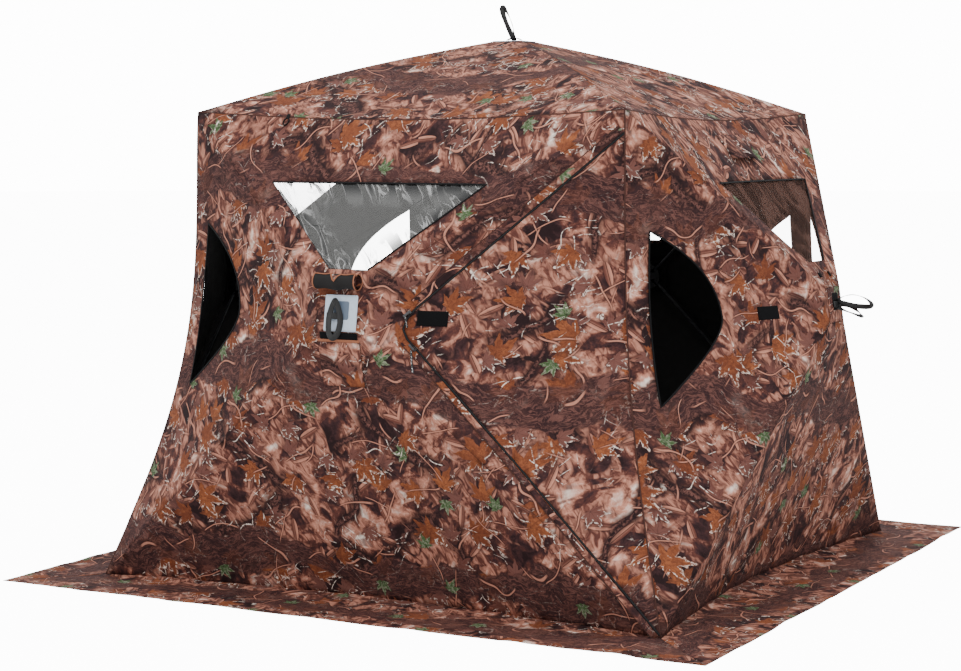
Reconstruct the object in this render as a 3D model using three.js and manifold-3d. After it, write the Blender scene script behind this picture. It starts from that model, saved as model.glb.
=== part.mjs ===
// Pop-up ground blind: a square cloth shelter over a ground skirt, held out by five hubs with four rods each.
// Millimetres, +Z up, origin on the ground at the centre. The front wall, with the zip door, faces -Y.
import * as THREE from "three";
import { mergeVertices } from "three/addons/utils/BufferGeometryUtils.js";
import Module from "manifold-3d";

const wasm = await Module();
wasm.setup();

// overall shape
const FOOT_HALF = 1150; // half the side of the square where the walls meet the ground
const EAVE_HALF = 886; // half the side of the square at the eaves
const EAVE_Z = 1755;
const APEX_Z = 2032; // cloth at the roof hub
const HUB_OUT = 1333; // how far each wall's hub stands from the centre
const HUB_Z = 1046;
const SKIRT_HALF = 1421;
const SKIRT_T = 4;
const SKIRT_LAP = 22; // how far the skirt reaches in under the walls
const CORNER_BOW = 92; // how far the unsupported corner edges pull in, along X and along Y
const EAVE_BOW = 32; // how far the eaves pull in and down
const FOOT_BOW = 100; // how far the foot of each wall pulls in

// cloth
const CLOTH = 4;
const SEAM_GAP = 1.2;
const BOW_FADE = 1.5; // power by which an edge's bow dies out towards the hub
const EDGE_STEPS = 8;
const FAN_LEVELS = [0, 0.15, 0.35, 0.65, 1];
const PLATE_UP = 100; // from a wall hub's centre to the upper corners of its flat cloth plate
const PLATE_DOWN = 100;
const ROOF_PLATE = 92;

// windows and door, as x and z on the front wall
const TOP_WINDOW = [[-441, 1497], [441, 1497], [86, 1203], [-74, 1203]];
const SIDE_WINDOW = {
  top: [-802, 1337], foot: [-848, 735], nose: [-550, 1030],
  upper: [-553, 1205], lower: [-550, 945], // control points of its two curved edges
};
const WINDOW_LAP = 14; // how far a window's film or mesh reaches past its opening
const WINDOW_T = 1.5;
const DOOR_TOP = [846, 1635];
const DOOR_NOSE = [[274, 1081], [243, 1040], [236, 1005], [250, 972]];
const DOOR_FOOT_Z = 34;
const DOOR_MARGIN = 14; // strip of wall left along the corner edge beside the door
const HEM_WIDTH = 30;
const ZIP_GAP = 1.5; // half the slot that the zip runs in
const VENT = {
  half: 112, top: 1668, foot: 1582, bulge: 38, thick: 3, // the hood
  slotHalf: 85, slotTop: 1648, slotFoot: 1604, // the opening in the wall behind it
};
const POCKET = { x: 18, half: 84, top: 962, foot: 800, stand: 5, thick: 4 };
const ROLL = { half: 82, fat: 27, slim: 19, x: 0, z: 1166, gap: 3 }; // the rolled-up cover of the front window

// rods, hubs and corner pockets
const ROD_R = 5.5;
const ROD_SIDES = 8;
const EYE_R = 7.5;
const EYE_W = 10;
const PIN_R = 2.5;
const PIN_HOLE_R = 3;
const PIN_RING = 42; // how far the rod pins stand from the hub's axis
const HUB_R = 58;
const HUB_T = 34;
const HUB_DEPTH = 22; // from the cloth to the middle of the hub
const HUB_SLOT_W = 14;
const HUB_CORE_R = 26;
const CORNER_INSET = 24; // from the cloth's corner in to where the rods' lines meet, along X, Y and Z
const UPPER_SHORT = 50; // how far the rods' tips stop short of that meeting point
const LOWER_SHORT = 42;
const ROOF_SHORT = 34;
const SLEEVE_R = 9;
const SLEEVE_BORE_R = 6.6;
const SLEEVE_LENGTH = 96;
const SLEEVE_FLOOR = 16; // from where the rods' lines meet to the bottom of each sleeve's bore
const POCKET_BALL_R = 11.5;

// pull straps and hub patches
const PATCH = { width: 150, height: 140, thick: 2.5, corner: 14, gap: 0.8 };
const BAR = { radius: 3, half: 28, stand: 9, lugWide: 5, lugDeep: 10 };
const STRAP = { width: 40, length: 140, thick: 3, endR: 8 };
const SLIDER = { body: [15, 11, 6], bridge: [5, 4, 5], pull: [26, 8, 2.5], pullBack: 10, lift: 8 };
const UPPER_ZIP = [[250, 1059], [815, 1606]]; // where each slider rests, and the end of its run
const LOWER_ZIP = [[279, 940], [1080, 72]];

const v3 = (x, y, z) => new THREE.Vector3(x, y, z);
const lean = Math.atan((FOOT_HALF - EAVE_HALF) / EAVE_Z);
const WALL_X = v3(1, 0, 0);
const WALL_UP = v3(0, Math.sin(lean), Math.cos(lean));
const WALL_OUT = v3(0, -Math.cos(lean), Math.sin(lean));
const hubCloth = v3(0, -HUB_OUT, HUB_Z);
const apexCloth = v3(0, 0, APEX_Z);

// ---------- materials ----------
const paint = (color, roughness, metalness = 0) =>
  new THREE.MeshStandardMaterial({ color, roughness, metalness });
const clothPaint = paint(0x8a6a58, 0.9);
const skirtPaint = paint(0x7a5c4c, 0.9);
const webPaint = paint(0x17171a, 0.5);
const patchPaint = paint(0xb8b6b2, 0.6);
const rodPaint = paint(0x22252a, 0.4);
const hubPaint = paint(0x15161a, 0.5);
const filmPaint = paint(0x8d9296, 0.1);
const meshPaint = paint(0x3b302c, 0.8);
const zipPaint = paint(0x2a2a2c, 0.4, 0.6);

// ---------- solids ----------
function toManifold(geometry) {
  const bare = geometry.clone();
  bare.deleteAttribute("normal");
  bare.deleteAttribute("uv");
  const welded = mergeVertices(bare, 1e-3);
  return new wasm.Manifold(
    new wasm.Mesh({
      numProp: 3,
      vertProperties: new Float32Array(welded.attributes.position.array),
      triVerts: new Uint32Array(welded.index.array),
    }),
  );
}

function fromManifold(solid) {
  const mesh = solid.getMesh();
  const geometry = new THREE.BufferGeometry();
  geometry.setAttribute("position", new THREE.BufferAttribute(new Float32Array(mesh.vertProperties), 3));
  geometry.setIndex(new THREE.BufferAttribute(new Uint32Array(mesh.triVerts), 1));
  return geometry;
}

const join = (first, ...rest) =>
  fromManifold(rest.reduce((solid, next) => solid.add(toManifold(next)), toManifold(first)));
const cut = (first, ...rest) =>
  fromManifold(rest.reduce((solid, next) => solid.subtract(toManifold(next)), toManifold(first)));
const keep = (first, second) => fromManifold(toManifold(first).intersect(toManifold(second)));

function placed(geometry, origin, x, y, z) {
  return geometry.clone().applyMatrix4(new THREE.Matrix4().makeBasis(x, y, z).setPosition(origin));
}

// a cylinder from one point to another
function rodBetween(from, to, radius, sides = ROD_SIDES) {
  const along = to.clone().sub(from);
  const body = new THREE.CylinderGeometry(radius, radius, along.length(), sides);
  const turn = new THREE.Quaternion().setFromUnitVectors(v3(0, 1, 0), along.clone().normalize());
  const middle = from.clone().add(to).multiplyScalar(0.5);
  return body.applyMatrix4(new THREE.Matrix4().compose(middle, turn, v3(1, 1, 1)));
}

// a flat outline of [x, z] points pushed through from one y to another
function prism(outline, yFrom, yTo) {
  const shape = new THREE.Shape(outline.map(([x, z]) => new THREE.Vector2(x, z)));
  const body = new THREE.ExtrudeGeometry(shape, { depth: Math.abs(yTo - yFrom), bevelEnabled: false });
  body.rotateX(Math.PI / 2); // local z becomes -y
  return body.translate(0, Math.max(yFrom, yTo), 0);
}
const WELL_INSIDE = -700; // y on either side of all of the front wall
const WELL_OUTSIDE = -1420;
const throughWall = (outline) => prism(outline, WELL_INSIDE, WELL_OUTSIDE);

// an outline moved outwards by a distance, or inwards if it is negative
function grown(outline, distance) {
  const points = outline.map(([x, z]) => new THREE.Vector2(x, z));
  const turn = THREE.ShapeUtils.area(points) > 0 ? 1 : -1;
  return points.map((point, i) => {
    const before = points[(i + points.length - 1) % points.length];
    const after = points[(i + 1) % points.length];
    const a = point.clone().sub(before).normalize();
    const b = after.clone().sub(point).normalize();
    const na = new THREE.Vector2(a.y, -a.x).multiplyScalar(turn);
    const nb = new THREE.Vector2(b.y, -b.x).multiplyScalar(turn);
    const corner = na.clone().add(nb);
    const reach = distance / Math.max(0.25, 1 + na.dot(nb));
    return [point.x + corner.x * reach, point.y + corner.y * reach];
  });
}

function bezier(a, control, b, steps) {
  const curve = new THREE.QuadraticBezierCurve(
    new THREE.Vector2(...a), new THREE.Vector2(...control), new THREE.Vector2(...b));
  return curve.getPoints(steps).map((p) => [p.x, p.y]);
}

// ---------- cloth panels ----------
const cornerBow = (s) => {
  const along = THREE.MathUtils.clamp(s, 0, 1) ** 0.92; // deepest a little above the middle
  return CORNER_BOW * Math.max(0, Math.sin(Math.PI * along)) ** 1.15;
};
const cornerHalf = (z) => FOOT_HALF - (FOOT_HALF - EAVE_HALF) * (z / EAVE_Z) - cornerBow(z / EAVE_Z);

// Each facet is a fan from a curved free edge to one side of the flat plate at the hub.
// chord: the straight free edge; bow: how the cloth leaves it; turn: the way to the cloth's inner face.
function wallFacets() {
  const plate = (side, up) => {
    const reach = v3(side * (up ? EAVE_HALF : FOOT_HALF), 0, up ? EAVE_Z - HUB_Z : -HUB_Z).normalize();
    const length = up ? PLATE_UP : PLATE_DOWN;
    const out = v3().addScaledVector(WALL_X, reach.x).addScaledVector(WALL_UP, reach.z);
    return hubCloth.clone().addScaledVector(out, length);
  };
  const foot = SKIRT_T + 0.6;
  const corner = (side, up) =>
    up
      ? v3(side * (EAVE_HALF - SEAM_GAP), -EAVE_HALF, EAVE_Z - SEAM_GAP)
      : v3(side * (FOOT_HALF - SEAM_GAP), -FOOT_HALF, foot);
  const upright = (side) => ({
    from: corner(side, side > 0 ? 0 : 1), to: corner(side, side > 0 ? 1 : 0),
    plateFrom: plate(side, side < 0), plateTo: plate(side, side > 0),
    bow: (s) => { const b = cornerBow(side > 0 ? s : 1 - s); return v3(-side * b, b, 0); },
    turn: v3(-side, 1, 0),
  });
  return [
    upright(1),
    {
      from: corner(1, true), to: corner(-1, true), plateFrom: plate(1, true), plateTo: plate(-1, true),
      bow: (s) => v3(0, EAVE_BOW * Math.sin(Math.PI * s), -EAVE_BOW * Math.sin(Math.PI * s)),
      turn: v3(0, 1, -1),
    },
    upright(-1),
    {
      from: corner(-1, false), to: corner(1, false), plateFrom: plate(-1, false), plateTo: plate(1, false),
      bow: (s) => v3(0, FOOT_BOW * Math.sin(Math.PI * s), 0),
      turn: v3(0, 1, 0),
    },
  ];
}

function roofFacets() {
  const corner = (i) => [[-1, -1], [1, -1], [1, 1], [-1, 1]][i % 4];
  const at = (i, half, z) => v3(corner(i)[0] * half, corner(i)[1] * half, z);
  return [0, 1, 2, 3].map((i) => {
    const inward = v3(-(corner(i)[0] + corner(i + 1)[0]) / 2, -(corner(i)[1] + corner(i + 1)[1]) / 2, 0);
    return {
      from: at(i, EAVE_HALF - SEAM_GAP, EAVE_Z), to: at(i + 1, EAVE_HALF - SEAM_GAP, EAVE_Z),
      plateFrom: at(i, ROOF_PLATE / Math.SQRT2, APEX_Z), plateTo: at(i + 1, ROOF_PLATE / Math.SQRT2, APEX_Z),
      bow: (s) => inward.clone().setZ(-1).multiplyScalar(EAVE_BOW * Math.sin(Math.PI * s)),
      turn: inward.clone().setZ(-1),
    };
  });
}

function facetPoint(facet, s, t) {
  const edge = facet.from.clone().lerp(facet.to, s);
  const plate = facet.plateFrom.clone().lerp(facet.plateTo, s);
  return edge.lerp(plate, t).addScaledVector(facet.bow(s), (1 - t) ** BOW_FADE);
}

// A closed thin shell over all the facets. through: the way from the outer face to the inner one.
// The free edges are mitred, so two shells that meet at an edge leave an even gap.
function clothShell(facets, through, thick, shift = 0) {
  const positions = [];
  const snap = (p) => p.toArray().map((value) => Math.round(value * 100) / 100);
  const triangle = (a, b, c) => positions.push(...snap(a), ...snap(b), ...snap(c));
  const steps = EDGE_STEPS;
  const face = (depth) => facets.map((facet, f) => {
    const before = facets[(f + facets.length - 1) % facets.length].turn;
    const after = facets[(f + 1) % facets.length].turn;
    return FAN_LEVELS.map((t, level) => Array.from({ length: steps + 1 }, (_, i) => {
      const edgeTurn = facet.turn.clone();
      if (level === 0 && i === 0) edgeTurn.add(before).clampScalar(-1, 1);
      if (level === 0 && i === steps) edgeTurn.add(after).clampScalar(-1, 1);
      return facetPoint(facet, i / steps, t).addScaledVector(level === 0 ? edgeTurn : through, depth);
    }));
  });
  const outer = face(shift);
  const inner = face(shift + thick);
  facets.forEach((_, f) => {
    for (let level = 0; level < FAN_LEVELS.length - 1; level++) {
      for (let i = 0; i < steps; i++) {
        const quad = (g) => [g[f][level][i], g[f][level][i + 1], g[f][level + 1][i + 1], g[f][level + 1][i]];
        const [a, b, c, d] = quad(outer);
        triangle(a, b, c);
        triangle(a, c, d);
        const [p, q, r, u] = quad(inner);
        triangle(p, r, q);
        triangle(p, u, r);
        if (level === 0) {
          triangle(a, q, b);
          triangle(a, p, q);
        }
      }
    }
  });
  const last = FAN_LEVELS.length - 1;
  for (const [grid, flip] of [[outer, false], [inner, true]]) {
    const rim = facets.flatMap((_, f) => grid[f][last].slice(0, steps));
    const middle = rim.reduce((sum, p) => sum.add(p), v3(0, 0, 0)).multiplyScalar(1 / rim.length);
    rim.forEach((p, i) => {
      const next = rim[(i + 1) % rim.length];
      if (flip) triangle(middle, next, p);
      else triangle(middle, p, next);
    });
  }
  const geometry = new THREE.BufferGeometry();
  geometry.setAttribute("position", new THREE.Float32BufferAttribute(positions, 3));
  return mergeVertices(geometry, 1e-3);
}

const INWARD = v3(0, 1, 0);
const wallShell = clothShell(wallFacets(), INWARD, CLOTH);
const roofShell = clothShell(roofFacets(), v3(0, 0, -1), CLOTH);

// y of the front wall's outer face at an x and z
function wallDepth(x, z) {
  const p = wallShell.attributes.position;
  const index = wallShell.index.array;
  let depth = Infinity;
  const target = new THREE.Vector2(x, z);
  for (let i = 0; i < index.length; i += 3) {
    const [a, b, c] = [0, 1, 2].map((k) => v3().fromBufferAttribute(p, index[i + k]));
    const [a2, b2, c2] = [a, b, c].map((q) => new THREE.Vector2(q.x, q.z));
    const area = b2.clone().sub(a2).cross(c2.clone().sub(a2));
    if (Math.abs(area) < 1e-6) continue;
    const wb = target.clone().sub(a2).cross(c2.clone().sub(a2)) / area;
    const wc = b2.clone().sub(a2).cross(target.clone().sub(a2)) / area;
    if (wb < -1e-9 || wc < -1e-9 || wb + wc > 1 + 1e-9) continue;
    depth = Math.min(depth, a.y + wb * (b.y - a.y) + wc * (c.y - a.y));
  }
  return depth;
}
const onWall = (x, z, lift = 0) => v3(x, wallDepth(x, z) - lift, z);

// ---------- windows, door and wall panels ----------
const sideWindow = [
  ...bezier(SIDE_WINDOW.top, SIDE_WINDOW.upper, SIDE_WINDOW.nose, 6),
  ...bezier(SIDE_WINDOW.nose, SIDE_WINDOW.lower, SIDE_WINDOW.foot, 6).slice(1),
];
const mirrored = (outline) => outline.map(([x, z]) => [-x, z]).reverse();

// the corner side of the door, from its top to its foot, a given distance in from the corner edge
function alongCorner(inset, top, foot, steps = 7) {
  return Array.from({ length: steps + 1 }, (_, i) => {
    const z = top + ((foot - top) * i) / steps;
    return [cornerHalf(z) - inset, z];
  });
}
const doorSide = alongCorner(DOOR_MARGIN, DOOR_TOP[1], DOOR_FOOT_Z);
const doorOutline = [...DOOR_NOSE.slice().reverse(), DOOR_TOP, ...doorSide];
const farUp = DOOR_TOP[1] + 400; // well past the door on every side
const farDown = DOOR_FOOT_Z - 400;
const farOut = 2000;
const beyondHem = [
  ...alongCorner(DOOR_MARGIN + HEM_WIDTH, farUp, farDown, 20), [farOut, farDown], [farOut, farUp],
];
const doorInner = throughWall(grown(doorOutline, -ZIP_GAP));
const doorCloth = keep(wallShell, doorInner);
const door = cut(doorCloth, throughWall(grown(beyondHem, ZIP_GAP / 2)));
const doorHem = keep(doorCloth, throughWall(grown(beyondHem, -ZIP_GAP / 2)));

const topHole = throughWall(TOP_WINDOW);
const leftHole = throughWall(sideWindow);
const rightHole = throughWall(mirrored(sideWindow));
const ventHole = throughWall([
  [-VENT.slotHalf, VENT.slotFoot], [VENT.slotHalf, VENT.slotFoot],
  [VENT.slotHalf, VENT.slotTop], [-VENT.slotHalf, VENT.slotTop],
]);
const frontWall = cut(wallShell, topHole, leftHole, throughWall(grown(doorOutline, ZIP_GAP)));
const plainWall = cut(wallShell, topHole, leftHole, rightHole);
const ventWall = cut(plainWall, ventHole);

// a thin piece that follows the wall inside an outline, a distance behind its outer face
function wallPiece(outline, shift, thick) {
  return keep(clothShell(wallFacets(), INWARD, thick, shift), throughWall(outline));
}
const windowSheet = wallPiece(grown(TOP_WINDOW, WINDOW_LAP), CLOTH + WINDOW_T, WINDOW_T);
const pocketOutline = [
  [POCKET.x - POCKET.half, POCKET.foot], [POCKET.x + POCKET.half, POCKET.foot],
  [POCKET.x + POCKET.half, POCKET.top], [POCKET.x - POCKET.half, POCKET.top],
];
const pocket = wallPiece(pocketOutline, -POCKET.stand, POCKET.thick);

function ventHood() {
  const across = 8;
  const down = 4;
  const thick = VENT.thick;
  const point = (i, j, depth) => {
    const u = i / across;
    const w = j / down;
    const x = -VENT.half + 2 * VENT.half * u;
    const z = VENT.top + (VENT.foot - VENT.top) * w;
    return onWall(x, z, 1 + thick + VENT.bulge * Math.sin(Math.PI * u) ** 0.7 * w).add(v3(0, depth, 0));
  };
  const positions = [];
  const quad = (a, b, c, d) => [a, b, c, a, c, d].forEach((p) => positions.push(...p.toArray()));
  for (let i = 0; i < across; i++) {
    for (let j = 0; j < down; j++) {
      quad(point(i, j, 0), point(i, j + 1, 0), point(i + 1, j + 1, 0), point(i + 1, j, 0));
      quad(point(i, j, thick), point(i + 1, j, thick), point(i + 1, j + 1, thick), point(i, j + 1, thick));
    }
    quad(point(i, 0, 0), point(i + 1, 0, 0), point(i + 1, 0, thick), point(i, 0, thick));
    quad(point(i, down, 0), point(i, down, thick), point(i + 1, down, thick), point(i + 1, down, 0));
  }
  for (let j = 0; j < down; j++) {
    quad(point(0, j, 0), point(0, j, thick), point(0, j + 1, thick), point(0, j + 1, 0));
    quad(point(across, j, 0), point(across, j + 1, 0), point(across, j + 1, thick), point(across, j, thick));
  }
  const geometry = new THREE.BufferGeometry();
  geometry.setAttribute("position", new THREE.Float32BufferAttribute(positions, 3));
  return mergeVertices(geometry, 1e-4);
}

// the front window's cover, rolled up and tied above the hub
function rolledCover() {
  const { half, fat, slim, x, z, gap } = ROLL;
  const profile = [
    [0, -half], [slim, -half], [fat, -half / 2], [slim + 3, 0], [fat, half / 2], [slim, half], [0, half],
  ];
  const roll = new THREE.LatheGeometry(profile.map(([r, y]) => new THREE.Vector2(r, y)), 12);
  roll.rotateZ(-Math.PI / 2);
  return roll.applyMatrix4(new THREE.Matrix4().setPosition(onWall(x, z - fat, fat + gap).setZ(z)));
}

function skirt() {
  const square = [[-1, -1], [1, -1], [1, 1], [-1, 1]];
  const outer = square.map(([x, y]) => new THREE.Vector2(x * SKIRT_HALF, y * SKIRT_HALF));
  const hole = [];
  for (let side = 0; side < 4; side++) {
    for (let i = 0; i < EDGE_STEPS; i++) {
      const s = i / EDGE_STEPS;
      const half = FOOT_HALF - SKIRT_LAP;
      const p = v3(-half + 2 * half * s, -half + FOOT_BOW * Math.sin(Math.PI * s), 0);
      p.applyAxisAngle(v3(0, 0, 1), (side * Math.PI) / 2);
      hole.push(new THREE.Vector2(p.x, p.y));
    }
  }
  const shape = new THREE.Shape(outer);
  shape.holes.push(new THREE.Path(hole.reverse()));
  return new THREE.ExtrudeGeometry(shape, { depth: SKIRT_T, bevelEnabled: false });
}

// ---------- hubs, rods and corner pockets ----------
// One frame per hub: origin on the cloth, x and y across the hub, z outwards.
const wallHubFrame = { origin: hubCloth, x: WALL_X, y: WALL_UP, z: WALL_OUT };
const roofHubFrame = { origin: apexCloth, x: v3(1, 0, 0), y: v3(0, 1, 0), z: v3(0, 0, 1) };
const inset = CORNER_INSET;
const upperCorner = (sx, sy) => v3(sx * (EAVE_HALF - inset), sy * (EAVE_HALF - inset), EAVE_Z - inset);
const lowerCorner = (sx, sy) => v3(sx * (FOOT_HALF - inset), sy * (FOOT_HALF - inset), inset);

function local(frame, point) {
  const d = point.clone().sub(frame.origin);
  return v3(d.dot(frame.x), d.dot(frame.y), d.dot(frame.z));
}
const inFrame = (frame, geometry) => placed(geometry, frame.origin, frame.x, frame.y, frame.z);

// a rod's pin, and the way it lies, in its hub's frame
function rodLine(frame, target) {
  const end = local(frame, target);
  const across = v3(end.x, end.y, 0).normalize();
  const pin = across.clone().multiplyScalar(PIN_RING).setZ(-HUB_DEPTH);
  return { end, across, pin, along: end.clone().sub(pin).normalize() };
}

function rod(frame, target, short) {
  const { end, across, pin, along } = rodLine(frame, target);
  const axis = v3(0, 0, 1).cross(across);
  const tip = end.clone().addScaledVector(along, -short);
  const half = axis.clone().multiplyScalar(EYE_W / 2);
  const eye = rodBetween(pin.clone().sub(half), pin.clone().add(half), EYE_R, 12);
  const long = axis.clone().multiplyScalar(EYE_W);
  const hole = rodBetween(pin.clone().sub(long), pin.clone().add(long), PIN_HOLE_R, 12);
  return inFrame(frame, cut(join(rodBetween(pin.clone().addScaledVector(along, 4), tip, ROD_R), eye), hole));
}

function hub(frame, targets) {
  const disc = (radius, thick, sides) => new THREE.CylinderGeometry(radius, radius, thick, sides)
    .rotateX(Math.PI / 2).translate(0, 0, -HUB_DEPTH);
  let body = disc(HUB_R, HUB_T, 24);
  const lines = targets.map((target) => rodLine(frame, target));
  for (const { across } of lines) {
    const axis = v3(0, 0, 1).cross(across);
    const slot = new THREE.BoxGeometry(HUB_R, HUB_SLOT_W, HUB_T * 2);
    const middle = across.clone().multiplyScalar(HUB_CORE_R + HUB_R / 2).setZ(-HUB_DEPTH);
    body = cut(body, placed(slot, middle, across, axis, v3(0, 0, 1)));
  }
  const pins = lines.map(({ across, pin }) => {
    const half = v3(0, 0, 1).cross(across).multiplyScalar(HUB_SLOT_W / 2 + 3);
    return rodBetween(pin.clone().sub(half), pin.clone().add(half), PIN_R);
  });
  return inFrame(frame, join(body, ...pins));
}

function cornerPocket(meet, hubPins) {
  const ways = hubPins.map((pin) => pin.clone().sub(meet).normalize());
  const ball = new THREE.IcosahedronGeometry(POCKET_BALL_R, 1).translate(meet.x, meet.y, meet.z);
  const along = (way, distance) => meet.clone().addScaledVector(way, distance);
  const tubes = ways.map((way) => rodBetween(meet, along(way, SLEEVE_LENGTH), SLEEVE_R));
  const bores = ways.map((way) =>
    rodBetween(along(way, SLEEVE_FLOOR), along(way, SLEEVE_LENGTH + SLEEVE_R), SLEEVE_BORE_R));
  return cut(join(ball, ...tubes), ...bores);
}
const pinInWorld = (frame, target) => {
  const { pin } = rodLine(frame, target);
  return frame.origin.clone().addScaledVector(frame.x, pin.x).addScaledVector(frame.y, pin.y)
    .addScaledVector(frame.z, pin.z);
};

// ---------- pull straps ----------
function hubPatch(frame) {
  const { width, height, thick, corner, gap } = PATCH;
  const { radius, half, stand, lugWide, lugDeep } = BAR;
  const shape = new THREE.Shape();
  const w = width / 2;
  const h = height / 2;
  shape.moveTo(-w + corner, -h).lineTo(w - corner, -h).lineTo(w, -h + corner).lineTo(w, h - corner);
  shape.lineTo(w - corner, h).lineTo(-w + corner, h).lineTo(-w, h - corner).lineTo(-w, -h + corner);
  const plate = new THREE.ExtrudeGeometry(shape, { depth: thick, bevelEnabled: false }).translate(0, 0, gap);
  const top = gap + thick + stand;
  const lugFoot = gap + thick / 4;
  const lugHeight = top + radius + 1 - lugFoot;
  const lug = (side) => new THREE.BoxGeometry(lugWide, lugDeep, lugHeight)
    .translate(side * half, 0, lugFoot + lugHeight / 2);
  const bar = rodBetween(v3(-half, 0, top), v3(half, 0, top), radius);
  return inFrame(frame, join(plate, lug(-1), lug(1), bar));
}

// A loop of webbing round the patch's bar, lying along `way` in the hub frame's y-z plane.
function pullStrap(frame, angle) {
  const { width, length, thick, endR } = STRAP;
  const loop = (r) => {
    const shape = new THREE.Shape();
    shape.absarc(0, 0, r, Math.PI / 2, (3 * Math.PI) / 2, false);
    shape.absarc(length - 2 * endR, 0, r, -Math.PI / 2, Math.PI / 2, false);
    return shape;
  };
  const shape = loop(endR);
  shape.holes.push(new THREE.Path(loop(endR - thick).getPoints(6).reverse()));
  const strap = new THREE.ExtrudeGeometry(shape, { depth: width, bevelEnabled: false, curveSegments: 6 });
  strap.translate(0, 0, -width / 2);
  // local x, the strap's length, turns to `angle` above the patch's plane, pointing down the wall at 0
  const along = v3(0, -Math.cos(angle), Math.sin(angle));
  const normal = v3(0, Math.sin(angle), Math.cos(angle));
  const across = along.clone().cross(normal);
  const root = v3(0, 0, PATCH.gap + PATCH.thick + BAR.stand);
  return inFrame(frame, placed(strap, root, along, normal, across));
}

function zipSlider([at, end]) {
  const along = end.clone().sub(at).normalize();
  const across = v3(0, -1, 0).cross(along).normalize();
  const out = along.clone().cross(across);
  const { body: bodySize, bridge: bridgeSize, pull: pullSize, pullBack, lift } = SLIDER;
  const body = new THREE.BoxGeometry(...bodySize);
  const bridge = new THREE.BoxGeometry(...bridgeSize).translate(0, 0, 4.5);
  const pull = new THREE.BoxGeometry(...pullSize).translate(-pullBack, 0, 7);
  const base = at.clone().addScaledVector(out, lift + bodySize[2] / 2);
  return placed(join(body, bridge, pull), base, along, across, out);
}

// ---------- assembly ----------
const group = new THREE.Group();
function add(name, geometry, material) {
  const mesh = new THREE.Mesh(geometry, material);
  mesh.name = name;
  group.add(mesh);
}
const turned = (geometry, quarter) => geometry.clone().rotateZ((quarter * Math.PI) / 2);

// the front wall is made once and turned: right faces +X, back +Y, left -X
const SIDES = ["front", "right", "back", "left"];
const wallCorners = [
  ["upper_left", upperCorner(-1, -1), UPPER_SHORT],
  ["upper_right", upperCorner(1, -1), UPPER_SHORT],
  ["lower_right", lowerCorner(1, -1), LOWER_SHORT],
  ["lower_left", lowerCorner(-1, -1), LOWER_SHORT],
];
const strapAngle = { front: 0.14, right: 1.45, back: 0.14, left: 1.45 };
const wallCloth = { front: frontWall, right: ventWall, back: plainWall, left: plainWall };

SIDES.forEach((side, quarter) => {
  add(`wall_${side}`, turned(wallCloth[side], quarter), clothPaint);
  add(side === "front" ? "window_film_front" : `window_mesh_${side}`, turned(windowSheet, quarter),
    side === "front" ? filmPaint : meshPaint);
  add(`hub_${side}`, turned(hub(wallHubFrame, wallCorners.map((c) => c[1])), quarter), hubPaint);
  for (const [corner, target, short] of wallCorners) {
    add(`rod_${side}_${corner}`, turned(rod(wallHubFrame, target, short), quarter), rodPaint);
  }
  add(`hub_patch_${side}`, turned(hubPatch(wallHubFrame), quarter), patchPaint);
  add(`pull_strap_${side}`, turned(pullStrap(wallHubFrame, strapAngle[side]), quarter), webPaint);
});

add("roof", roofShell, clothPaint);
const roofCorners = [
  ["front_left", upperCorner(-1, -1)], ["front_right", upperCorner(1, -1)],
  ["back_right", upperCorner(1, 1)], ["back_left", upperCorner(-1, 1)],
];
add("hub_roof", hub(roofHubFrame, roofCorners.map((c) => c[1])), hubPaint);
for (const [corner, target] of roofCorners) {
  add(`rod_roof_${corner}`, rod(roofHubFrame, target, ROOF_SHORT), rodPaint);
}
add("hub_patch_roof", hubPatch(roofHubFrame), patchPaint);
add("pull_strap_roof", pullStrap(roofHubFrame, Math.PI / 2), webPaint);

// the pocket at a corner takes a rod from each wall beside it, and at the top one from the roof
const quarterTurn = (point, quarter) => point.clone().applyAxisAngle(v3(0, 0, 1), (quarter * Math.PI) / 2);
const cornerNames = ["front_left", "front_right", "back_right", "back_left"];
const upperPocket = cornerPocket(upperCorner(-1, -1), [
  pinInWorld(wallHubFrame, upperCorner(-1, -1)),
  quarterTurn(pinInWorld(wallHubFrame, upperCorner(1, -1)), -1),
  pinInWorld(roofHubFrame, upperCorner(-1, -1)),
]);
const lowerPocket = cornerPocket(lowerCorner(-1, -1), [
  pinInWorld(wallHubFrame, lowerCorner(-1, -1)),
  quarterTurn(pinInWorld(wallHubFrame, lowerCorner(1, -1)), -1),
]);
cornerNames.forEach((name, quarter) => {
  add(`corner_pocket_upper_${name}`, turned(upperPocket, quarter), webPaint);
  add(`corner_pocket_lower_${name}`, turned(lowerPocket, quarter), webPaint);
});

add("skirt", skirt(), skirtPaint);
add("door", door, clothPaint);
add("door_hem", doorHem, clothPaint);
const zipRun = (path) => path.map(([x, z]) => onWall(x, z));
add("zip_slider_upper", zipSlider(zipRun(UPPER_ZIP)), zipPaint);
add("zip_slider_lower", zipSlider(zipRun(LOWER_ZIP)), zipPaint);
add("window_cover_roll", rolledCover(), clothPaint);
add("vent_hood", turned(ventHood(), 1), clothPaint);
add("pocket_front", pocket, clothPaint);

export default group;
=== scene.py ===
"""Looks of a pop-up ground blind: printed cloth over sprung hubs, with film and mesh windows and a zip door."""
import math

import bpy
import numpy as np
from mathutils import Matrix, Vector
from mathutils.geometry import delaunay_2d_cdt


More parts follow.
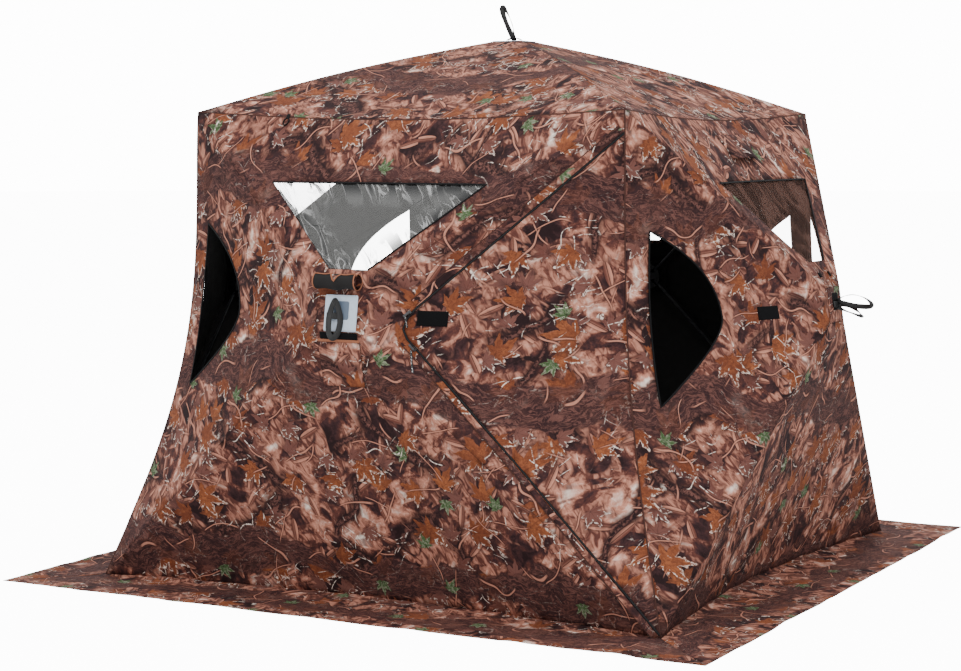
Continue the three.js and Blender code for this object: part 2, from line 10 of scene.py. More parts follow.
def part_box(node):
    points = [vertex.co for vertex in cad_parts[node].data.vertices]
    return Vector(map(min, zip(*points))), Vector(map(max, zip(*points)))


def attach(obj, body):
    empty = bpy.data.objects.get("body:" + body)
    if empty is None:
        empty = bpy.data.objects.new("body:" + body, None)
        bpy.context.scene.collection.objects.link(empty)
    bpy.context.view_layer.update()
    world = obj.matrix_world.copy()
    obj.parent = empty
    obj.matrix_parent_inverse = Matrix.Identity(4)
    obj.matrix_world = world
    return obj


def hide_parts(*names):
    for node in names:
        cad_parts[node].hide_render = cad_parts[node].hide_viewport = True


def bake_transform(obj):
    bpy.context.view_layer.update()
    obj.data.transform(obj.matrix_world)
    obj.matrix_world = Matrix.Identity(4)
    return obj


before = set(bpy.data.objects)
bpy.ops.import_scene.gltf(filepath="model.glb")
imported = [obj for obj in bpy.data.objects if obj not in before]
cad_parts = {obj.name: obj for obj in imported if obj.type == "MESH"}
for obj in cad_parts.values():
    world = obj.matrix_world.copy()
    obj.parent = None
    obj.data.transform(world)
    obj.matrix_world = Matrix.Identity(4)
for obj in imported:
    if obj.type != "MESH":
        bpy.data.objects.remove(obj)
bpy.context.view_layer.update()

bl_info = {
    "name": "Pop-up Ground Blind",
    "version": (1, 0, 0),
    "blender": (4, 5, 0),
    "location": "View3D > Sidebar > Blind",
    "description": "Cloth, windows, straps and stage for a pop-up ground blind",
    "category": "Add Mesh",
}

SKIRT_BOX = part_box("skirt")
SIDES = ("front", "right", "back", "left")  # each a quarter turn on from the one before


# ---------- settings ----------
def metres(name, about, value):
    return bpy.props.FloatProperty(name=name, description=about, default=value, subtype="DISTANCE", unit="LENGTH")


def colour(name, about, value):
    return bpy.props.FloatVectorProperty(
        name=name, description=about, default=value, subtype="COLOR", size=3, min=0, max=1)


class BlindShape(bpy.types.PropertyGroup):
    foot_half: metres("Foot half-width", "Half the side of the square at the ground", 1.150)
    eave_half: metres("Eave half-width", "Half the side of the square at the eaves", 0.886)
    eave_z: metres("Eave height", "Height of the eaves", 1.755)
    apex_z: metres("Apex height", "Height of the cloth at the roof hub", 2.032)
    hub_out: metres("Hub reach", "How far each wall's hub stands from the centre", 1.333)
    hub_z: metres("Hub height", "Height of the wall hubs", 1.046)
    skirt_half: metres("Skirt half-width", "Half the side of the ground skirt", SKIRT_BOX[1][0])
    corner_bow: metres("Corner bow", "How far the corner edges pull in", 0.092)
    eave_bow: metres("Eave bow", "How far the eaves pull in and down", 0.032)
    foot_bow: metres("Foot bow", "How far the foot of each wall pulls in", 0.100)
    roof_crown: metres("Roof crown", "How far the bent roof rods lift the cloth", 0.020)
    plate: metres("Wall plate", "From a wall hub's centre to the corners of its flat cloth plate", 0.100)
    roof_plate: metres("Roof plate", "From the roof hub's centre to the corners of its plate", 0.092)
    cloth: metres("Cloth thickness", "Thickness of the shell cloth", 0.0014)
    step: metres("Mesh step", "Spacing of the cloth's mesh", 0.026)
    wrinkle: metres("Wrinkle depth", "Depth of the soft wrinkles over the cloth", 0.0030)
    tuck: metres("Tuck depth", "Depth of the tucks along the foot of each wall", 0.0085)


class BlindColours(bpy.types.PropertyGroup):
    # the print's darkest colour; it also paints the shade in the fold along each sewn edge of the cloth
    soil: colour("Soil", "Darkest gaps between the printed leaves", (0.017, 0.0070, 0.0080))
    bark: colour("Bark", "Printed bark", (0.046, 0.0190, 0.0200))
    bark_light: colour("Bark ridges", "Light grain on the printed bark", (0.170, 0.070, 0.056))
    litter: colour("Leaf litter", "Fallen leaves behind the large ones", (0.110, 0.036, 0.027))
    tan: colour("Tan", "Pale dry leaves", (0.560, 0.240, 0.165))
    rust: colour("Rust", "Darker maple leaves", (0.130, 0.034, 0.017))
    orange: colour("Orange", "Brighter maple leaves", (0.300, 0.092, 0.036))
    cream: colour("Cream", "Highlights on curled edges and twigs", (1.0, 0.86, 0.75))
    green: colour("Green", "The few green leaves", (0.055, 0.100, 0.036))
    lining: colour("Lining", "Black coating inside the cloth", (0.010, 0.009, 0.009))
    webbing: colour("Webbing", "Straps, binding and hook-and-loop tabs", (0.004, 0.004, 0.0045))
    vinyl: colour("Hub patch", "Pale vinyl patch over a hub", (0.60, 0.69, 0.80))
    film: colour("Window film", "Smoky clear film", (0.42, 0.42, 0.41))
    mesh: colour("Window mesh", "Printed see-through mesh", (0.36, 0.19, 0.15))


class BlindStage(bpy.types.PropertyGroup):
    eye: bpy.props.FloatVectorProperty(
        name="Camera place", description="Where the camera stands", default=(4.0665, -7.813, 1.664),
        subtype="TRANSLATION", unit="LENGTH", size=3)
    heading: bpy.props.FloatProperty(
        name="Heading", description="Camera's compass direction", default=math.radians(118.36), subtype="ANGLE")
    pitch: bpy.props.FloatProperty(
        name="Pitch", description="Camera's tilt from level", default=math.radians(-5.13), subtype="ANGLE")
    lens: bpy.props.FloatProperty(name="Lens", description="Focal length in millimetres", default=83.27)
    daylight: bpy.props.FloatProperty(name="Daylight", description="Strength of the surrounding light", default=1.0)
    backdrop: bpy.props.FloatProperty(name="Backdrop", description="Brightness of the white behind", default=14.0)
    key: bpy.props.FloatProperty(name="Key light", description="Power of the large soft light", default=420.0)


# ---------- shader expressions ----------
class Num:
    """A number that varies over a surface. Arithmetic on it adds Math nodes to its surface."""

    def __init__(self, surface, socket):
        self.surface, self.socket = surface, socket

    def math(self, operation, *values):
        node = self.surface.node("ShaderNodeMath", {"operation": operation}, dict(enumerate(values)))
        return Num(self.surface, node.outputs[0])

    def __add__(self, other): return self.math("ADD", self, other)
    def __radd__(self, other): return self.math("ADD", other, self)
    def __sub__(self, other): return self.math("SUBTRACT", self, other)
    def __rsub__(self, other): return self.math("SUBTRACT", other, self)
    def __mul__(self, other): return self.math("MULTIPLY", self, other)
    def __rmul__(self, other): return self.math("MULTIPLY", other, self)
    def __truediv__(self, other): return self.math("DIVIDE", self, other)
    def __pow__(self, other): return self.math("POWER", self, other)
    def __lt__(self, other): return self.math("LESS_THAN", self, other)
    def __abs__(self): return self.math("ABSOLUTE", self)
    def sin(self): return self.math("SINE", self)
    def cos(self): return self.math("COSINE", self)
    def root(self): return self.math("SQRT", self)
    def part(self): return self.math("FRACT", self)
    def smaller(self, other): return self.math("MINIMUM", self, other)
    def angle_with(self, x): return self.math("ARCTAN2", self, x)

    def rise(self, low, high):
        """0 at low, 1 at high and beyond, smooth between them; low may be above high."""
        node = self.surface.node(
            "ShaderNodeMapRange", {"interpolation_type": "SMOOTHSTEP"},
            {"Value": self, "From Min": low, "From Max": high})
        return Num(self.surface, node.outputs[0])


class Surface:
    """One material: a Principled shader, and the expressions that feed it."""

    def __init__(self, name, **fixed):
        self.material = bpy.data.materials.new(name)
        self.material.use_nodes = True
        self.tree = self.material.node_tree
        self.shader = self.tree.nodes["Principled BSDF"]
        for socket, value in fixed.items():
            self.shader.inputs[socket.replace("_", " ")].default_value = (
                (*value, 1) if hasattr(value, "__len__") and len(value) == 3 else value)

    def node(self, kind, settings=None, values=None):
        made = self.tree.nodes.new(kind)
        for name, value in (settings or {}).items():
            if name == "stops":
                ramp = made.color_ramp.elements
                while len(ramp) < len(value):
                    ramp.new(0.5)
                for stop, (place, shade) in zip(ramp, value):
                    stop.position, stop.color = place, (*shade, 1)
            else:
                setattr(made, name, value)
        for key, value in (values or {}).items():
            self.feed(made.inputs[key], value)
        return made

    def feed(self, socket, value):
        if isinstance(value, Num):
            value = value.socket
        if isinstance(value, bpy.types.NodeSocket):
            self.tree.links.new(value, socket)
        elif hasattr(value, "__len__") and len(value) == 3 and socket.type == "RGBA":
            socket.default_value = (*value, 1)
        else:
            socket.default_value = value

    def mix(self, share, below, above, mode="MIX"):
        """The colour `above` laid over `below` by a share from 0 to 1."""
        made = self.node("ShaderNodeMix", {"data_type": "RGBA", "blend_type": mode, "clamp_factor": True})
        self.feed(made.inputs[0], share)
        self.feed(made.inputs[6], below)
        self.feed(made.inputs[7], above)
        return made.outputs[2]

    def vector(self, operation, a, b):
        made = self.node("ShaderNodeVectorMath", {"operation": operation}, {0: a})
        self.feed(made.inputs["Scale" if operation == "SCALE" else 1], b)
        return made.outputs[0]

    def split(self, vector):
        made = self.node("ShaderNodeSeparateXYZ", values={0: vector})
        return [Num(self, socket) for socket in made.outputs]

    def point(self, x, y, z=0.0):
        return self.node("ShaderNodeCombineXYZ", values={0: x, 1: y, 2: z}).outputs[0]

    def noise(self, where, scale, detail=2.0, roughness=0.5, warp=0.0, flat=True):
        made = self.node(
            "ShaderNodeTexNoise", {"noise_dimensions": "2D" if flat else "3D"},
            {"Vector": where, "Scale": scale, "Detail": detail, "Roughness": roughness, "Distortion": warp})
        return Num(self, made.outputs[0])

    def cells(self, where, scale, scatter=1.0):
        """Scattered cells: the place within the cell, and three chances of its own."""
        made = self.node(
            "ShaderNodeTexVoronoi", {"voronoi_dimensions": "2D"},
            {"Vector": where, "Scale": scale, "Randomness": scatter})
        inside = self.vector("SUBTRACT", where, made.outputs["Position"])
        x, y, _ = self.split(inside)
        return x, y, self.split(made.outputs["Color"])

    def uv(self, layer):
        return self.node("ShaderNodeUVMap", {"uv_map": layer}).outputs[0]

    def place(self):
        return self.node("ShaderNodeTexCoord").outputs["Object"]

    def bump(self, height, depth, strength=1.0):
        made = self.node("ShaderNodeBump", values={"Height": height, "Distance": depth, "Strength": strength})
        self.feed(self.shader.inputs["Normal"], made.outputs[0])

    def wear(self, **inputs):
        for name, value in inputs.items():
            self.feed(self.shader.inputs[name.replace("_", " ")], value)
        return self.material


# ---------- the camouflage print ----------
def maple_leaves(surface, where, gap, size, share, shift):
    """Lobed leaves, one to a cell: their mask, the shadow round them, their veins, edge light and a chance."""
    moved = surface.vector("ADD", where, (shift, shift * 1.7, 0))
    ragged = surface.node(
        "ShaderNodeTexNoise", {"noise_dimensions": "2D"}, {"Vector": moved, "Scale": 38.0, "Detail": 2.0})
    moved = surface.vector("ADD", moved, surface.vector(
        "SCALE", surface.vector("SUBTRACT", ragged.outputs["Color"], (0.5, 0.5, 0.5)), size * 0.26))
    x, y, chance = surface.cells(moved, 1 / gap, 0.62)
    out = (x * x + y * y).root()
    turn = y.angle_with(x) + chance[0] * math.tau
    lobes = (1 + turn.sin()) * (1 + (turn * 8).cos() * 0.36) * (1 + (turn * 24).cos() * 0.10)
    reach = out / (lobes * (size / 2) + size * 0.14)
    there = chance[1] < share
    mask = reach.rise(1.05, 0.93) * there
    shadow = reach.rise(1.9, 0.9) * there
    vein = (abs((turn * 4).sin()) * out).rise(0.0030, 0.0004) * mask
    light = reach.rise(0.72, 1.0) * (y - x * 0.4).rise(0.004, -0.016) * mask
    return mask, shadow, vein, light, chance[2]


def curved_lines(surface, u, v, angle, spacing, width, reach, wander, seed):
    """Thin wandering lines at an angle, broken into lengths."""
    c, s = math.cos(angle), math.sin(angle)
    along, across = u * c + v * s, v * c - u * s
    where = surface.point(along + seed, across)
    bend = surface.noise(where, 4.0, 1.5)
    place = (across + bend * wander) / spacing
    off = abs(place.part() - 0.5) * spacing
    pieces = surface.noise(surface.point(along * reach, place - place.part() + seed), 3.0, 0.0)
    breaks = pieces.rise(0.50, 0.56)
    return off, off.rise(width, width * 0.55) * breaks, breaks


def paint_camo(surface, colours):
    """Leaves, bark, twigs and highlights in the plane of the cloth: the colour, and the place across and up."""
    where = surface.uv("print")
    u, v, _ = surface.split(where)
    broad = surface.noise(where, 2.4, 2.0)
    middle = surface.noise(where, 13.0, 3.0, 0.62, 0.6)
    fine = surface.noise(where, 85.0, 3.0, 0.7, 0.4)

    # fallen litter: soft patches of many browns, with dark gaps between
    x, y, chip = surface.cells(surface.vector("ADD", where, (3.1, 1.2, 0)), 1 / 0.050, 1.0)
    edge = (x * x + y * y).root()
    clumps = surface.noise(surface.vector("ADD", where, (7, 3, 0)), 6.5, 2.0, 0.6, 0.5)
    shade = clumps * 0.75 + middle * 0.62 + chip[0] * 0.12 + fine * 0.14 - 0.31
    base = surface.node("ShaderNodeValToRGB", {"stops": [
        (0.32, colours.soil), (0.43, colours.bark), (0.52, colours.litter), (0.64, colours.tan),
        (0.84, colours.cream)]}, {0: shade}).outputs[0]
    base = surface.mix(edge.rise(0.014, 0.034) * 0.28, base, colours.soil)

    # pale dry patches
    patch = surface.noise(surface.vector("ADD", where, (9, 4, 0)), 7.5, 2.5, 0.6, 0.8)
    streak = surface.noise(surface.point(u * 1.4 + v * 0.8, v * 0.5 - u * 0.3), 34.0, 2.0, 0.55, 0.7)
    pale = surface.mix(streak.rise(0.36, 0.66), colours.litter, colours.tan)
    base = surface.mix(patch.rise(0.50, 0.57) * 0.80, base, pale)

    # narrow dry leaves
    x, y, chance = surface.cells(surface.vector("ADD", where, (5.3, 8.8, 0)), 1 / 0.095, 0.9)
    turn = chance[0] * math.tau
    along, across = x * turn.cos() + y * turn.sin(), y * turn.cos() - x * turn.sin()
    lance = ((along / 0.044) ** 2.0 + (across / 0.0120) ** 2.0).root()
    dry = lance.rise(1.05, 0.92) * (chance[1] < 0.55)
    dry_shade = surface.mix(across.rise(-0.010, 0.012), colours.litter, colours.tan)
    base = surface.mix(lance.rise(1.7, 0.8) * (chance[1] < 0.55) * 0.65, base, colours.soil)
    base = surface.mix(dry, base, dry_shade)
    base = surface.mix(abs(across).rise(0.0022, 0.0006) * dry * 0.8, base, colours.soil)

    # dark branches with lit ridges
    for angle, spacing, width, seed in ((0.62, 0.38, 0.021, 2.0), (-0.70, 0.44, 0.024, 7.0), (1.25, 0.50, 0.013, 12.0)):
        off, line, breaks = curved_lines(surface, u, v, angle, spacing, width, 0.7, 0.16, seed)
        base = surface.mix(off.rise(width * 2.0, width) * breaks * 0.65, base, colours.soil)
        lit = off.rise(width * 0.8, 0.0) * fine.rise(0.38, 0.62)
        base = surface.mix(line, base, surface.mix(lit * 0.85, colours.soil, colours.bark_light))

    # bark logs that run the width of the print
    wave = (u * 2.9).sin() * 0.034 + (u * 6.7 + 1.0).sin() * 0.020 + (broad - 0.5) * 0.26 + (middle - 0.5) * 0.05
    place = (v + wave - 0.465) / 0.69
    off = abs(place.part() - 0.5) * 0.69
    girth = surface.noise(surface.point(u, (place - place.part()) * 3.7), 3.2, 2.0)
    half = girth * 0.13 + 0.002
    bark = (off - half).rise(0.006, -0.006)
    grain = surface.noise(surface.point(u * 0.22, v + wave), 120.0, 3.0, 0.72, 1.1)
    knots = surface.noise(surface.point(u * 0.35, v + wave), 24.0, 2.0, 0.5, 1.6)
    wood = surface.mix(
        grain.rise(0.45, 0.62) * (0.40 + knots * 0.60), surface.mix(knots, colours.soil, colours.bark),
        colours.bark_light)
    base = surface.mix(bark * 0.95, base, wood)
    open_ground = 1 - bark * 0.85

    # maple leaves, from behind to in front
    for gap, size, share, shift, dark, bright in (
            (0.125, 0.040, 0.55, 4.4, colours.bark_light, colours.litter),
            (0.165, 0.052, 0.55, 1.3, colours.rust, colours.orange),
            (0.225, 0.066, 0.55, 7.9, colours.rust, colours.orange)):
        mask, shadow, vein, light, chance = maple_leaves(surface, where, gap, size, share, shift)
        mask, shadow = mask * open_ground, shadow * open_ground
        base = surface.mix(shadow * 0.45, base, colours.soil)
        leaf = surface.mix(chance * 0.6 + fine.rise(0.30, 0.70) * 0.55, dark, bright)
        leaf = surface.mix(middle.rise(0.60, 0.42) * 0.55, leaf, dark)
        leaf = surface.mix(vein * 0.55, leaf, colours.soil)
        leaf = surface.mix(light * fine.rise(0.42, 0.60) * 0.9, leaf, colours.cream)
        base = surface.mix(mask, base, leaf)

    # pale twigs over everything so far
    for angle, spacing, seed in ((0.25, 0.19, 21.0), (-0.9, 0.27, 27.0), (1.1, 0.33, 33.0)):
        off, line, breaks = curved_lines(surface, u, v, angle, spacing, 0.0032, 2.2, 0.20, seed)
        base = surface.mix(off.rise(0.010, 0.003) * breaks * 0.6, base, colours.soil)
        base = surface.mix(line * 0.8, base, colours.tan)

    # green leaves
    mask, shadow, vein, light, chance = maple_leaves(surface, where, 0.165, 0.032, 0.20, 15.2)
    base = surface.mix(shadow * 0.4, base, colours.soil)
    lit_green = tuple(0.7 * g + 0.3 * c for g, c in zip(colours.green, colours.cream))
    leaf = surface.mix(fine.rise(0.42, 0.66) * 0.45 + light * 0.4, colours.green, lit_green)
    base = surface.mix(mask, base, surface.mix(vein * 0.8, leaf, colours.soil))

    # bleached grass that catches the light
    zones = surface.noise(surface.vector("ADD", where, (2, 6, 0)), 6.0, 2.0)
    lit = zones.rise(0.51, 0.60) * (1 - bark * 0.8)
    for angle, spacing, seed in ((0.30, 0.046, 41.0), (-0.60, 0.060, 47.0), (1.15, 0.080, 53.0)):
        _, line, _ = curved_lines(surface, u, v, angle, spacing, 0.0020, 4.5, 0.30, seed)
        base = surface.mix(line * lit * fine.rise(0.40, 0.56) * 0.75, base, colours.cream)
    base = surface.mix(fine.rise(0.35, 0.68) * 0.16, base, surface.mix(1.0, base, (1, 1, 1), "SOFT_LIGHT"))
    return base, u, v


def weave_height(u, v, pitch=0.0011):
    return ((u * (math.tau / pitch)).sin() + (v * (math.tau / pitch)).sin()) * 0.25 + 0.5


def cloth_surface(name, colours, dusty=0.0):
    """Outer face of the printed polyester, with its woven grain, sewn edges and slack creases."""
    surface = Surface(name, Specular_IOR_Level=0.16)
    base, u, v = paint_camo(surface, colours)
    seam, _, _ = surface.split(surface.uv("seam"))
    thread = seam.rise(0.0062, 0.0070) * seam.rise(0.0086, 0.0078) * ((u + v) * 1400).sin().rise(-0.2, 0.3)
    # painted shade: the cloth darkens into the fold along each sewn edge
    seam_fold_shade = seam.rise(0.0022, 0.0)
    base = surface.mix(seam_fold_shade * 0.55, base, colours.soil)
    base = surface.mix(thread * 0.25, base, colours.litter)
    if dusty:
        grime = surface.noise(surface.uv("print"), 5.0, 4.0, 0.6)
        base = surface.mix(grime.rise(0.45, 0.75) * dusty, base, colours.tan)
    slack = surface.noise(surface.point(u, v * 0.55), 9.0, 3.0, 0.45, 0.5)
    pucker = surface.noise(surface.uv("print"), 55.0, 1.0) * seam.rise(0.040, 0.004)
    height = weave_height(u, v) * 0.05 + slack + pucker * 0.30 + seam.rise(0.013, 0.010) * 0.12
    surface.bump(height, 0.006, 0.55)
    worn = surface.noise(surface.uv("print"), 30.0, 2.0)
    return surface.wear(Base_Color=base, Roughness=0.72 + worn * 0.14)


def lining_surface(colours):
    surface = Surface("black_lining", Specular_IOR_Level=0.25)
    where = surface.uv("print")
    u, v, _ = surface.split(where)
    mottle = surface.noise(where, 18.0, 3.0)
    base = surface.mix(mottle * 0.6, colours.lining, tuple(c * 2.2 for c in colours.lining))
    surface.bump(weave_height(u, v) * 0.06 + surface.noise(where, 8.0, 3.0, 0.5, 0.6), 0.005, 0.5)
    return surface.wear(Base_Color=base, Roughness=0.66 + mottle * 0.2)


def webbing_surface(name, tint, gloss=0.42):
    """Ribbed woven tape, its ribs lying across the ribbon."""
    surface = Surface(name, Specular_IOR_Level=0.12 if gloss > 0.3 else 0.5)
    u, v, _ = surface.split(surface.uv("print"))
    ribs = (v * (math.tau / 0.0026)).sin() * 0.5 + 0.5
    twill = ((u + v) * (math.tau / 0.0017)).sin() * 0.5 + 0.5
    fuzz = surface.noise(surface.uv("print"), 160.0, 3.0, 0.7)
    base = surface.mix(ribs * 0.5 + fuzz * 0.5, tint, tuple(min(1, c * 1.7 + 0.001) for c in tint))
    surface.bump(ribs * 0.6 + twill * 0.4, 0.0006, 0.8)
    return surface.wear(Base_Color=base, Roughness=gloss + fuzz * 0.25)


def film_surface(colours):
    surface = Surface("smoky_film", Specular_IOR_Level=0.6, IOR=1.5)
    where = surface.uv("print")
    u, v, _ = surface.split(where)
    cloudy = surface.noise(where, 5.0, 3.0, 0.6, 0.8)
    pull = surface.noise(surface.point(u * 0.28 - v * 0.20, v * 1.1 + u * 1.0), 20.0, 2.0, 0.5, 0.5)
    seam, _, _ = surface.split(surface.uv("seam"))
    edges = seam.rise(0.110, 0.015)
    # painted shade and dark reflection: dark streaks in the pulled wrinkles near the film's edges
    dark = pull.rise(0.535, 0.60) * edges
    # painted highlight: pale glossy streaks beside the dark wrinkles
    shine = pull.rise(0.47, 0.50) * pull.rise(0.535, 0.505) * edges
    # painted shade along a few sharp creases in the film
    crease_shade = abs(u + 0.165).rise(0.0024, 0.0006) + abs(v - 1.352 + u * 0.05).rise(0.0024, 0.0006) * (u < -0.165)
    crease_shade = crease_shade + abs(v - 1.335 - u * 0.62).rise(0.0026, 0.0008)
    base = surface.mix(cloudy * 0.6, colours.film, tuple(c * 0.6 for c in colours.film))
    base = surface.mix(shine * 0.85, base, (0.9, 0.9, 0.9))
    base = surface.mix((dark + crease_shade * 0.5).smaller(0.95), base, (0.010, 0.011, 0.012))
    surface.bump(pull * 0.8 + cloudy * 0.6, 0.010, 0.65)
    return surface.wear(
        Base_Color=base, Roughness=0.16 + cloudy * 0.08,
        Alpha=0.145 + cloudy * 0.03 + dark * 0.62 + shine * 0.2 + crease_shade * 0.10)


def mesh_surface(colours):
    surface = Surface("printed_mesh", Specular_IOR_Level=0.25)
    where = surface.uv("print")
    u, v, _ = surface.split(where)
    pattern = surface.noise(where, 9.0, 3.0, 0.6, 1.0)
    base = surface.mix(pattern.rise(0.42, 0.62), tuple(c * 0.45 for c in colours.mesh), colours.mesh)
    threads = abs((u * (math.pi / 0.0021)).sin()).smaller(abs((v * (math.pi / 0.0021)).sin()))
    surface.bump(threads, 0.0005, 0.6)
    return surface.wear(Base_Color=base, Roughness=0.8 + pattern * 0.1, Alpha=0.115 + pattern * 0.05)


def vinyl_surface(colours):
    surface = Surface("hub_vinyl", Specular_IOR_Level=0.5)
    where = surface.uv("print")
    seam, _, _ = surface.split(surface.uv("seam"))
    u, v, _ = surface.split(where)
    scuff = surface.noise(where, 60.0, 4.0, 0.65)
    base = surface.mix(scuff.rise(0.45, 0.75) * 0.35, colours.vinyl, tuple(c * 0.72 for c in colours.vinyl))
    stitch = seam.rise(0.0045, 0.0052) * seam.rise(0.0068, 0.0061) * ((u + v) * 1250).sin().rise(-0.1, 0.3)
    base = surface.mix(stitch * 0.7, base, (0.62, 0.64, 0.66))
    base = surface.mix(seam.rise(0.0016, 0.0) * 0.4, base, (0.14, 0.15, 0.17))
    surface.bump(surface.noise(where, 350.0, 2.0) * 0.35 - stitch + surface.noise(where, 22.0, 2.0), 0.0012, 0.7)
    return surface.wear(Base_Color=base, Roughness=0.38 + scuff * 0.2)


def plastic_surface(name, tint, roughness):
    surface = Surface(name, Specular_IOR_Level=0.5)
    where = surface.place()
    grain = surface.noise(where, 900.0, 2.0, 0.6, flat=False)
    wear = surface.noise(where, 25.0, 4.0, 0.6, flat=False)
    base = surface.mix(wear.rise(0.5, 0.8) * 0.4, tint, tuple(c * 1.9 + 0.01 for c in tint))
    surface.bump(grain, 0.0003, 0.5)
    return surface.wear(Base_Color=base, Roughness=roughness + wear * 0.18)


def rod_surface():
    surface = Surface("pultruded_rod", Specular_IOR_Level=0.5)
    where = surface.place()
    x, y, z = surface.split(where)
    fibres = surface.noise(surface.point(x * 60 + y * 60, z * 3), 12.0, 3.0, 0.6)
    base = surface.mix(fibres, (0.014, 0.015, 0.017), (0.045, 0.047, 0.052))
    surface.bump(fibres, 0.0003, 0.5)
    return surface.wear(Base_Color=base, Roughness=0.28 + fibres * 0.2)


def metal_surface():
    surface = Surface("zip_metal")
    where = surface.place()
    scratch = surface.noise(where, 420.0, 3.0, 0.7, flat=False)
    rub = surface.noise(where, 90.0, 2.0, flat=False)
    base = surface.mix(rub, (0.035, 0.035, 0.037), (0.16, 0.16, 0.165))
    surface.bump(scratch, 0.0002, 0.5)
    return surface.wear(Base_Color=base, Roughness=0.30 + scratch * 0.2, Metallic=0.75 + rub * 0.2)


def zip_surface():
    """Coil zip: woven tape on either side of a row of fine teeth along the middle."""
    surface = Surface("coil_zip", Specular_IOR_Level=0.15)
    across, along, _ = surface.split(surface.uv("seam"))
    middle = abs(across).rise(0.0034, 0.0026)
    teeth = (along * (math.tau / 0.0022)).sin() * 0.5 + 0.5
    fuzz = surface.noise(surface.uv("seam"), 400.0, 2.0)
    base = surface.mix(middle * teeth * 0.6 + fuzz * 0.2, (0.003, 0.003, 0.0035), (0.030, 0.030, 0.032))
    surface.bump(middle * (0.5 + teeth * 0.5) + fuzz * 0.1, 0.0012, 0.8)
    return surface.wear(Base_Color=base, Roughness=0.50 - middle * 0.15)


def pull_surface():
    """Black moulded zip pulls with pale flecks."""
    surface = Surface("zip_pull", Specular_IOR_Level=0.5)
    where = surface.uv("print")
    u, v, _ = surface.split(where)
    fleck = surface.noise(surface.point(u, v * 2.0), 170.0, 1.0).rise(0.56, 0.62) * abs(v).rise(0.0030, 0.0018)
    base = surface.mix(fleck, (0.010, 0.010, 0.011), (0.66, 0.66, 0.66))
    surface.bump(surface.noise(where, 600.0, 2.0), 0.0003, 0.6)
    return surface.wear(Base_Color=base, Roughness=0.45 + fleck * 0.1)


def floor_surface():
    """A white sweep that the camera sees fully lit, while it lights the blind like matt paper."""
    surface = Surface("pale_floor", Specular_IOR_Level=0.1, Emission_Strength=12.0)
    speck = surface.noise(surface.place(), 3.0, 2.0, flat=False)
    seen = surface.node("ShaderNodeLightPath").outputs["Is Camera Ray"]
    return surface.wear(
        Base_Color=surface.mix(speck, (0.80, 0.80, 0.80), (0.82, 0.82, 0.82)), Roughness=0.9 + speck * 0.05,
        Emission_Color=surface.mix(seen, (0, 0, 0), (1, 1, 1)))


MATERIALS = {}


def material(name):
    """Each finish is made once, when it is first wanted."""
    if name not in MATERIALS:
        picked = bpy.context.scene.blind_colours
        colours = type("Picked", (), {key: tuple(getattr(picked, key)) for key in BlindColours.__annotations__})
        MATERIALS[name] = {
            "camo": lambda: cloth_surface("camo_cloth", colours),
            "skirt": lambda: cloth_surface("skirt_cloth", colours, dusty=0.10),
            "lining": lambda: lining_surface(colours),
            "webbing": lambda: webbing_surface("black_webbing", colours.webbing),
            "satin": lambda: webbing_surface("satin_webbing", tuple(c * 0.5 for c in colours.webbing), 0.24),
            "trim": lambda: webbing_surface("brown_binding", (0.26, 0.10, 0.055), 0.6),
            "tab": lambda: webbing_surface("hook_tab", (0.003, 0.003, 0.0035), 0.75),
            "film": lambda: film_surface(colours),
            "mesh": lambda: mesh_surface(colours),
            "vinyl": lambda: vinyl_surface(colours),
            "vinyl_inset": lambda: plastic_surface("vinyl_inset", (0.115, 0.155, 0.215), 0.3),
            "plastic": lambda: plastic_surface("moulded_plastic", (0.010, 0.010, 0.011), 0.42),
            "seam": lambda: webbing_surface("seam_binding", (0.050, 0.022, 0.018), 0.7),
            "sleeve": lambda: plastic_surface("sleeve_webbing", (0.012, 0.012, 0.013), 0.7),
            "pull": lambda: pull_surface(),
            "rod": rod_surface, "metal": metal_surface, "zip": zip_surface, "floor": floor_surface,
        }[name]()
    return MATERIALS[name]


def repaint(node, finish):
    """A finish on one of the frame's own nodes."""
    node.data.materials.clear()
    node.data.materials.append(material(finish))


# ---------- mesh helpers ----------
def piece(name, points, faces, finishes, kinds=None, layers=None, smooth=True):
    """A mesh object. kinds picks a finish for each face; layers are named uv places, one to a point."""
    mesh = bpy.data.meshes.new(name)
    mesh.from_pydata([tuple(p) for p in points], [], [tuple(int(i) for i in f) for f in faces])
    for finish in finishes:
        mesh.materials.append(material(finish))
    if kinds is not None:
        mesh.polygons.foreach_set("material_index", np.asarray(kinds, np.int32))
    mesh.polygons.foreach_set("use_smooth", np.full(len(mesh.polygons), smooth))
    corners = np.empty(len(mesh.loops), np.int32)
    mesh.loops.foreach_get("vertex_index", corners)
    for layer, places in (layers or {"print": np.asarray(points)[:, :2]}).items():
        mesh.uv_layers.new(name=layer).data.foreach_set(
            "uv", np.ascontiguousarray(np.asarray(places, np.float32)[corners, :2]).ravel())
    mesh.update()
    made = bpy.data.objects.new(name, mesh)
    bpy.context.scene.collection.objects.link(made)
    return made


def quarter_turn(points, quarter):
    points = np.asarray(points, float).reshape(-1, 3)
    c, s = ((1, 0), (0, 1), (-1, 0), (0, -1))[quarter % 4]
    return np.column_stack([points[:, 0] * c - points[:, 1] * s, points[:, 0] * s + points[:, 1] * c, points[:, 2]])


def lerp(a, b, t):
    return a + (b - a) * t


def unit(rows):
    """Each row at length 1."""
    return rows / np.linalg.norm(rows, axis=1)[:, None]


def inside(points, loop):
    """Which flat points lie inside a closed loop."""
    x, y = points[:, 0][:, None], points[:, 1][:, None]
    ax, ay = loop[:, 0][None], loop[:, 1][None]
    bx, by = np.roll(loop[:, 0], -1)[None], np.roll(loop[:, 1], -1)[None]
    crosses = (ay > y) != (by > y)
    slope = np.where(by == ay, 1e-12, by - ay)
    return (np.sum(crosses & (x < (bx - ax) * (y - ay) / slope + ax), axis=1) % 2).astype(bool)


